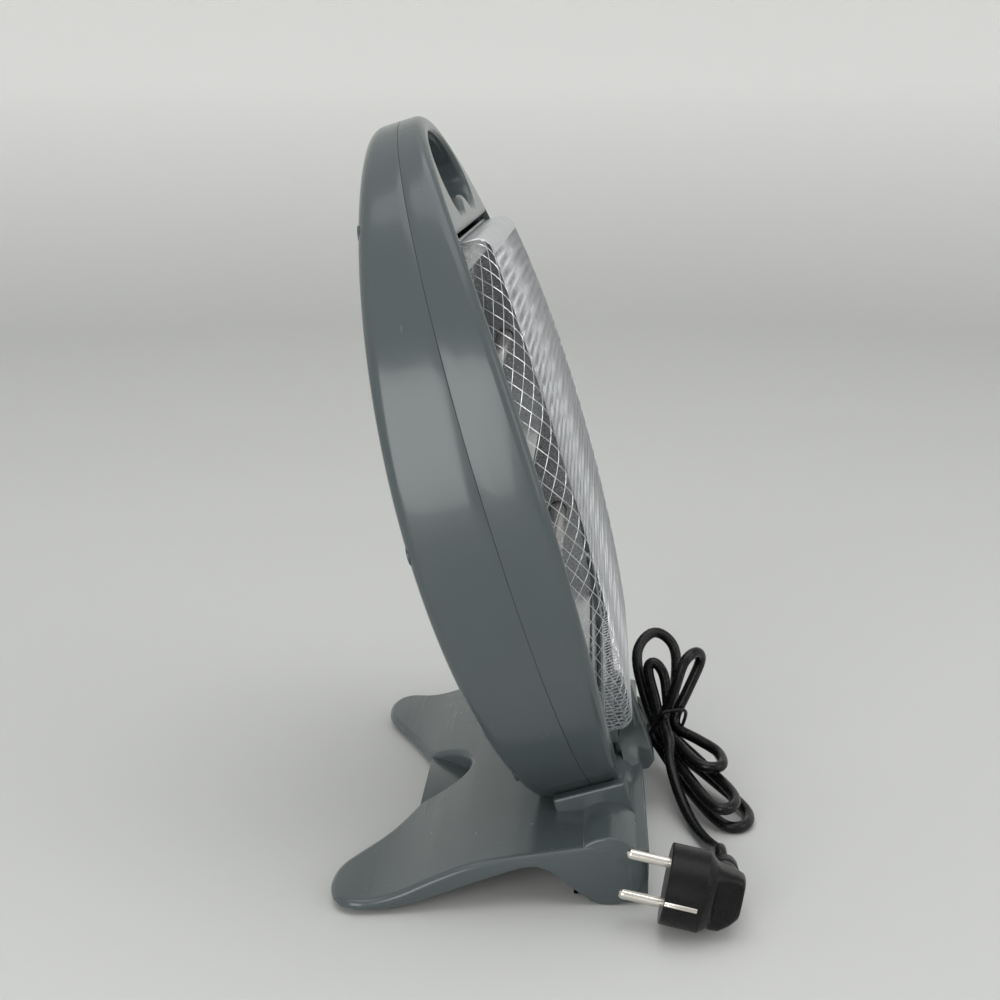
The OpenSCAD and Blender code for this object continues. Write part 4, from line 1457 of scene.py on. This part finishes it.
    def knob_pad(self) -> Object:
        """Round pad of the chin panel behind the knob.

        Returns:
            The pad.
        """
        pad, bore = (round_bar(name, *(self.on_knob_axis(depth) for depth in span), radius * MM,
                               edge=edge * MM)
                     for name, span, radius, edge in (
                         ("knob_pad", self.pad_span, self.pad_radius, 0.4),
                         ("pad_tool", self.bore_span, self.bore_radius, 0)))
        shape_with(pad, bore)
        depth, along = np.array([(-25, self.pad_low), (25, self.pad_low), (25, 90), (-25, 90)]).T
        keep = prism("pad_limit", self.place(depth, -40, along), Vector((0, 80 * MM, 0)))
        return shape_with(pad, keep, Cut.KEEP)

    def build(self) -> None:
        """Makes the head's shells, mesh and knob, and the bracket that holds them."""
        deliver(self.rear_shell(), Finishes.grey_plastic, "rear_shell")
        deliver(self.front_shell(), Finishes.grey_plastic, "front_shell")
        deliver(self.mesh(), Finishes.bright_wire, "wire_grille", "grille_wall")
        deliver(self.knob(), Finishes.grey_knob, "control_knob", body=Body.KNOB)
        deliver(softened("neck_bracket_skin", "neck_bracket", 0.0008, 3), Finishes.grey_plastic,
                "neck_bracket")


# ---------- base ----------


@dataclass(frozen=True)
class Post:
    """A kind of round post: its span of heights, its radius, its corners and its rims' radius."""

    span: Flat
    radius: float
    sides: int
    edge: float


@dataclass
class Base:
    """The four-toed base: plate, ridge across the front, front strip and wiring box."""

    wall: float = 2.5
    edge: float = 3.0
    half_front: float = 114.0
    ridge: Spot = (12.5, 17.2, 17.2)
    strip: tuple[Spot, Spot] = ((8.0, -111.5, 0.0), (31.5, 111.5, 28.0))
    # half of the outline, from the front back to the notch between the rear feet
    plan: tuple[Flat, ...] = (
        (22, 113.9), (10, 114), (-45, 122.4), (-95, 130), (-103, 131.2), (-109, 130),
        (-114.3, 125.5), (-117.5, 118), (-118.7, 109), (-117, 94.5), (-108.7, 79), (-99.5, 63),
        (-91.5, 46.5), (-87.3, 36.5), (-84.4, 30.6), (-80.3, 28.6), (-75.75, 26.4),
        (-69.4, 21.6), (-64.6, 15.3), (-61.5, 7.9))
    notch_end: Flat = (-60.5, 0.0)
    # the side view's upper and lower line: place, height
    top_line: tuple[Flat, ...] = (
        (-122, 7.7), (-103, 7.6), (-96.6, 7.6), (-90, 9), (-83, 11.2), (-74, 15.3),
        (-65, 18.9), (-56, 22.2), (-46.7, 24.6), (-37.5, 25.8), (-28.4, 26.8), (-14.6, 28.1),
        (1.6, 29.8), (12.5, 30.4), (30, 30.4))
    arch_line: tuple[Flat, ...] = (
        (-125, 6.4), (-108, 4.8), (-95, 2.7), (-83, 4), (-65, 9.2), (-51, 14.1), (-37.5, 18),
        (-28, 21.1), (-19, 21.7), (-14.5, 19.4), (-9.8, 14.1), (-0.5, 6.4), (9, 1.3), (16, 0.6),
        (40, 0.6))
    least_edge: float = 1.2
    foot_rows: tuple[Flat, ...] = ((0.7, 0.0), (0.15, 0.25), (0.0, 0.9))
    hollow: tuple[Spot, Spot] = ((-30.0, -109.0, -5.0), (29.0, 109.0, 12.0))
    ease_reach: float = 5.0
    ease_steps: int = 11
    top_cuts: Spot = (-117.0, 22.0, 1.5)
    scoop_at: Flat = (-91.0, 0.0)
    scoop: Post = Post((3.5, 9.0), 32.0, 96, 0.6)
    scoop_limit: tuple[Spot, Spot] = ((-84.8, -40.0, 0.0), (-40.0, 40.0, 14.0))
    box_span: Flat = (2.5, 24.5)
    box_walls: tuple[tuple[Flat, Flat], ...] = (
        ((-17.5, -62.5), (-15, 82.5)), ((-17.5, 80), (29, 82.5)), ((-17.5, -62.5), (-1, -60)),
        ((-3.5, -108.5), (-1, -60)), ((-3.5, -108.5), (29, -106)))
    post: Post = Post((4.6, 22.0), 4.0, 24, 0.3)
    foot: Post = Post((1.5, 6.4), 8.0, 40, 0.5)
    posts: tuple[Flat, ...] = ((-9, -53), (-9, 58), (23.5, -100), (23.5, 72), (24, -30))
    rear_feet: tuple[Flat, ...] = ((-103, -114), (-103, 114))

    def point(self, x: float, y: float, z: float) -> Vector:
        """A place of the base in the heater's frame, in metres."""
        return Vector(((x + FORWARD) * MM, y * MM, z * MM))

    def height(self, line: Sequence[Flat], x: Rows) -> Rows:
        """Height of a side line at x, smoothed over a short stretch on both sides.

        Args:
            line: Places and heights.
            x: Where.

        Returns:
            Heights.
        """
        spots = np.array(line)
        shifts = np.linspace(-self.ease_reach, self.ease_reach, self.ease_steps)
        return sum(np.interp(x + shift, *spots.T) for shift in shifts) / self.ease_steps

    def plate_top(self, outline: Rows) -> Object:
        """The plate's top, bent to its side line.

        Args:
            outline: Its outline.

        Returns:
            The sheet.
        """
        spots = np.column_stack([(outline[:, 0] + FORWARD) * MM, outline[:, 1] * MM,
                                 np.zeros(len(outline))])
        top = prism("plate_top", spots, Vector((0, 0, -1)))
        with editing(top, Pick.FACES, every=False):
            choose_faces(top, lambda normal: normal.z < 0.5)
            bpy.ops.mesh.delete(type="FACE")
        with editing(top):
            for x in np.arange(*self.top_cuts):
                bpy.ops.mesh.select_all(action="SELECT")
                bpy.ops.mesh.bisect(plane_co=self.point(x, 0, 0), plane_no=(1, 0, 0))
        spots = np.empty(len(top.data.vertices) * 3, np.float32)
        top.data.vertices.foreach_get("co", spots)
        spots = spots.reshape(-1, 3)
        spots[:, 2] = self.height(self.top_line, spots[:, 0] / MM - FORWARD) * MM
        lay(top, spots)
        return top

    def plate(self) -> Object:
        """The plate with its rounded edge and side walls.

        Returns:
            The plate.
        """
        half = np.array(self.plan)
        ring = eased_corners(np.vstack([half, [self.notch_end], half[::-1] * (1, -1)]), 3)
        out = flat_normals(ring)
        r = self.edge
        top = self.height(self.top_line, ring[:, 0])
        low = np.minimum(self.height(self.arch_line, ring[:, 0]), top - r - self.least_edge)
        rings = [(inset, low + rise) for inset, rise in self.foot_rows]
        rings.append((0.0, (rings[-1][1] + top - r) / 2))
        for inset, drop in rounding(r, range(0, 91, 15)):
            rings.append((inset, self.height(self.top_line, (ring - out * inset)[:, 0]) - drop))
        rows = []
        for inset, z in rings:
            x, y = (ring - out * inset).T
            rows.append(np.stack([x + FORWARD, y, z], axis=1) * MM)
        skirt = laid_sheet("plate", rows, ring=True)
        plate = faced(joined("plate", [skirt, self.plate_top(ring - out * r)]))
        return finish(plate, "SOLIDIFY", thickness=self.wall * MM, offset=-1)

    def block(self, name: str, low: Spot, high: Spot, edge: float, steps: int = 3) -> Object:
        """A block of the base between two corners, with rounded edges."""
        return rounded_block(name, self.point(*low), self.point(*high), edge * MM, steps)

    def hollow_below(self, obj: Object) -> Object:
        """Opens a front member from below, leaving its walls."""
        return shape_with(obj, self.block("hollow_tool", *self.hollow, 0.4, 1))

    def upright(self, name: str, at: Flat, kind: Post) -> Object:
        """A round post of a kind, at its place on the base."""
        low, high = (self.point(*at, z) for z in kind.span)
        return round_bar(name, low, high, kind.radius * MM, kind.sides, kind.edge * MM)

    def build(self) -> None:
        """Makes the base."""
        x, z, r = self.ridge
        ridge = round_bar("ridge", self.point(x, -self.half_front, z),
                          self.point(x, self.half_front, z), r * MM, 144, 1.3 * MM)
        strip = self.block("strip", *self.strip, 1.7)
        scoop = self.upright("notch_floor", self.scoop_at, self.scoop)
        shape_with(scoop, self.block("notch_tool", *self.scoop_limit, 0.8), Cut.KEEP)
        parts = [self.plate(), self.hollow_below(ridge), self.hollow_below(strip), scoop]
        floor, roof = self.box_span
        parts += [self.block("box_wall", (*low, floor), (*high, roof), 0.3, 1)
                  for low, high in self.box_walls]
        parts += [self.upright("post", at, self.post) for at in self.posts]
        parts += [self.upright("foot_post", at, self.foot) for at in self.rear_feet]
        deliver(smooth(joined("base_shell_skin", parts)), Finishes.grey_plastic, "base_shell")


# ---------- solids that stay ----------


@dataclass
class CarriedOver:
    """Solids whose shape is right as it is: each gets its finish."""

    nodes: dict[Finishes, tuple[str, ...]] = field(default_factory=lambda: {
        Finishes.black_plastic: ("base_cover", "tip_switch_housing", "thermal_cutout",
                                 "rotary_switch"),
        Finishes.black_rubber: ("rubber_feet",),
        Finishes.zinc_steel: ("base_screws", "neck_screws", "shell_screws", "grille_frame",
                              "reflector_screws", "switch_shaft"),
        Finishes.natural_plastic: ("tip_plunger",),
        Finishes.spring_steel: ("plunger_spring", "grille_clips"),
        Finishes.polished_aluminium: ("reflector",),
        Finishes.quartz_glass: ("quartz_tubes",),
        Finishes.resistance_wire: ("heating_coils",),
        Finishes.ceramic: ("tube_holders", "terminal_block"),
        Finishes.aluminised_steel: ("heat_shield",),
        Finishes.wire_insulation: ("inner_wires",),
        Finishes.nickel: ("plug_pins",)})

    def build(self) -> None:
        """Dresses the solids that stay."""
        for look, names in self.nodes.items():
            for name in names:
                dress(FRAME["nodes"][name], look)
                LOG.info("%s keeps its solid", name)


# ---------- studio ----------


@dataclass(frozen=True)
class Lamp:
    """A soft rectangular lamp, in metres and watts."""

    name: str
    place: Spot
    aim: Spot
    size: Flat
    power: float

    def hang(self) -> None:
        """Adds the lamp to the scene."""
        data = bpy.data.lights.new(self.name, "AREA")
        data.shape = "RECTANGLE"
        data.size, data.size_y = self.size
        data.energy = self.power
        aim_along(linked(self.name, data), self.place, Vector(self.aim) - Vector(self.place))


def aim_along(obj: Object, place: Spot, way: Vector) -> None:
    """Puts a lamp or camera in its place, looking along a direction."""
    obj.location = place
    obj.rotation_euler = way.to_track_quat("-Z", "Y").to_euler()


@dataclass
class Studio:
    """Pale floor and backdrop, soft lamps and the photograph's camera, in metres."""

    eye: Spot = (0.0399, -0.752, 0.354)
    pitch: float = 13.964
    yaw: float = 3.406
    lens: float = 54.0
    sensor: float = 36.0
    floor_rings: tuple[float, ...] = (0.002, 0.3, 0.7, 1.1, 1.5)
    floor_reach: float = 2.0
    floor_bend: float = 1.0
    floor_high: float = 3.2
    floor_colour: Spot = (0.60, 0.605, 0.59)
    # the wall's paler tone and the height by which it is reached: painted light on the backdrop
    painted_light_wall_colour: Spot = (0.97, 0.97, 0.95)
    painted_light_reach: float = 0.45
    rough: float = 0.75
    clouds: float = 0.9
    cloud_tone: float = 0.03
    sky: float = 0.67
    sky_colour: Spot = (0.98, 0.99, 1.0)
    lamps: tuple[Lamp, ...] = (
        Lamp("overhead", (0.1, -0.1, 1.9), (0, 0, 0.1), (1.6, 1.6), 11),
        Lamp("window", (-0.45, -1.3, 0.47), (-0.2, 0, 0.47), (0.75, 0.88), 8.5),
        Lamp("front_fill", (1.6, -0.6, 0.9), (0, 0, 0.15), (1.0, 1.2), 5))

    def camera(self) -> None:
        """Adds the camera."""
        data = bpy.data.cameras.new("view")
        data.lens = self.lens
        data.sensor_width = self.sensor
        data.sensor_fit = "HORIZONTAL"
        data.clip_start = 0.01
        obj = linked("view", data)
        a, e = math.radians(self.yaw), math.radians(self.pitch)
        way = Vector((-math.sin(a) * math.cos(e), math.cos(a) * math.cos(e), -math.sin(e)))
        aim_along(obj, self.eye, way)
        bpy.context.scene.camera = obj

    def backdrop(self) -> None:
        """Adds a round floor that curves up into a wall all round, paler towards its top; that
        paleness is painted light.
        """
        reach, bend = self.floor_reach, self.floor_bend
        side = [(r, 0.0) for r in (*self.floor_rings, reach)]
        side += [(reach + bend * math.sin(a), bend - bend * math.cos(a))
                 for a in np.linspace(0, math.pi / 2, 17)[1:]]
        side += [(reach + bend, z) for z in np.linspace(bend + 0.4, self.floor_high, 5)]
        t = full_turn(96)
        floor = laid_sheet("backdrop", [np.stack([r * np.cos(t), r * np.sin(t), z + 0 * t], axis=1)
                                        for r, z in side], ring=True)
        all_smooth(floor)
        paint = Paint("backdrop")
        dark, light = (tuple(c * share for c in self.floor_colour)
                       for share in (1 - self.cloud_tone, 1 + self.cloud_tone))
        ground = paint.blend(paint.noise(self.clouds, 2), dark, light)
        high = paint.node("ShaderNodeSeparateXYZ", values={0: paint.place()}, out=2)
        # the wall's colour climbs with height to a paler tone: painted light, not the backdrop's
        # own colour
        paint.set({"Base Color": paint.blend(paint.climb(high, 0.0, self.painted_light_reach), ground,
                                             self.painted_light_wall_colour), "Roughness": self.rough})
        floor.data.materials.append(paint.material)

    def build(self) -> None:
        """Sets the studio up."""
        self.camera()
        self.backdrop()
        for lamp in self.lamps:
            lamp.hang()
        world = bpy.data.worlds.new("studio")
        world.use_nodes = True
        colour, strength = world.node_tree.nodes["Background"].inputs[:2]
        colour.default_value = (*self.sky_colour, 1)
        strength.default_value = self.sky
        bpy.context.scene.world = world
        bpy.context.scene.view_settings.view_transform = "Standard"


def main() -> None:
    """Builds the heater's looks in order."""
    logging.basicConfig(level=logging.INFO, format="%(message)s")
    FRAME.update(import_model())
    Studio().build()
    MainsCord().build()
    Head().build()
    Base().build()
    CarriedOver().build()


if __name__ == "__main__":
    main()
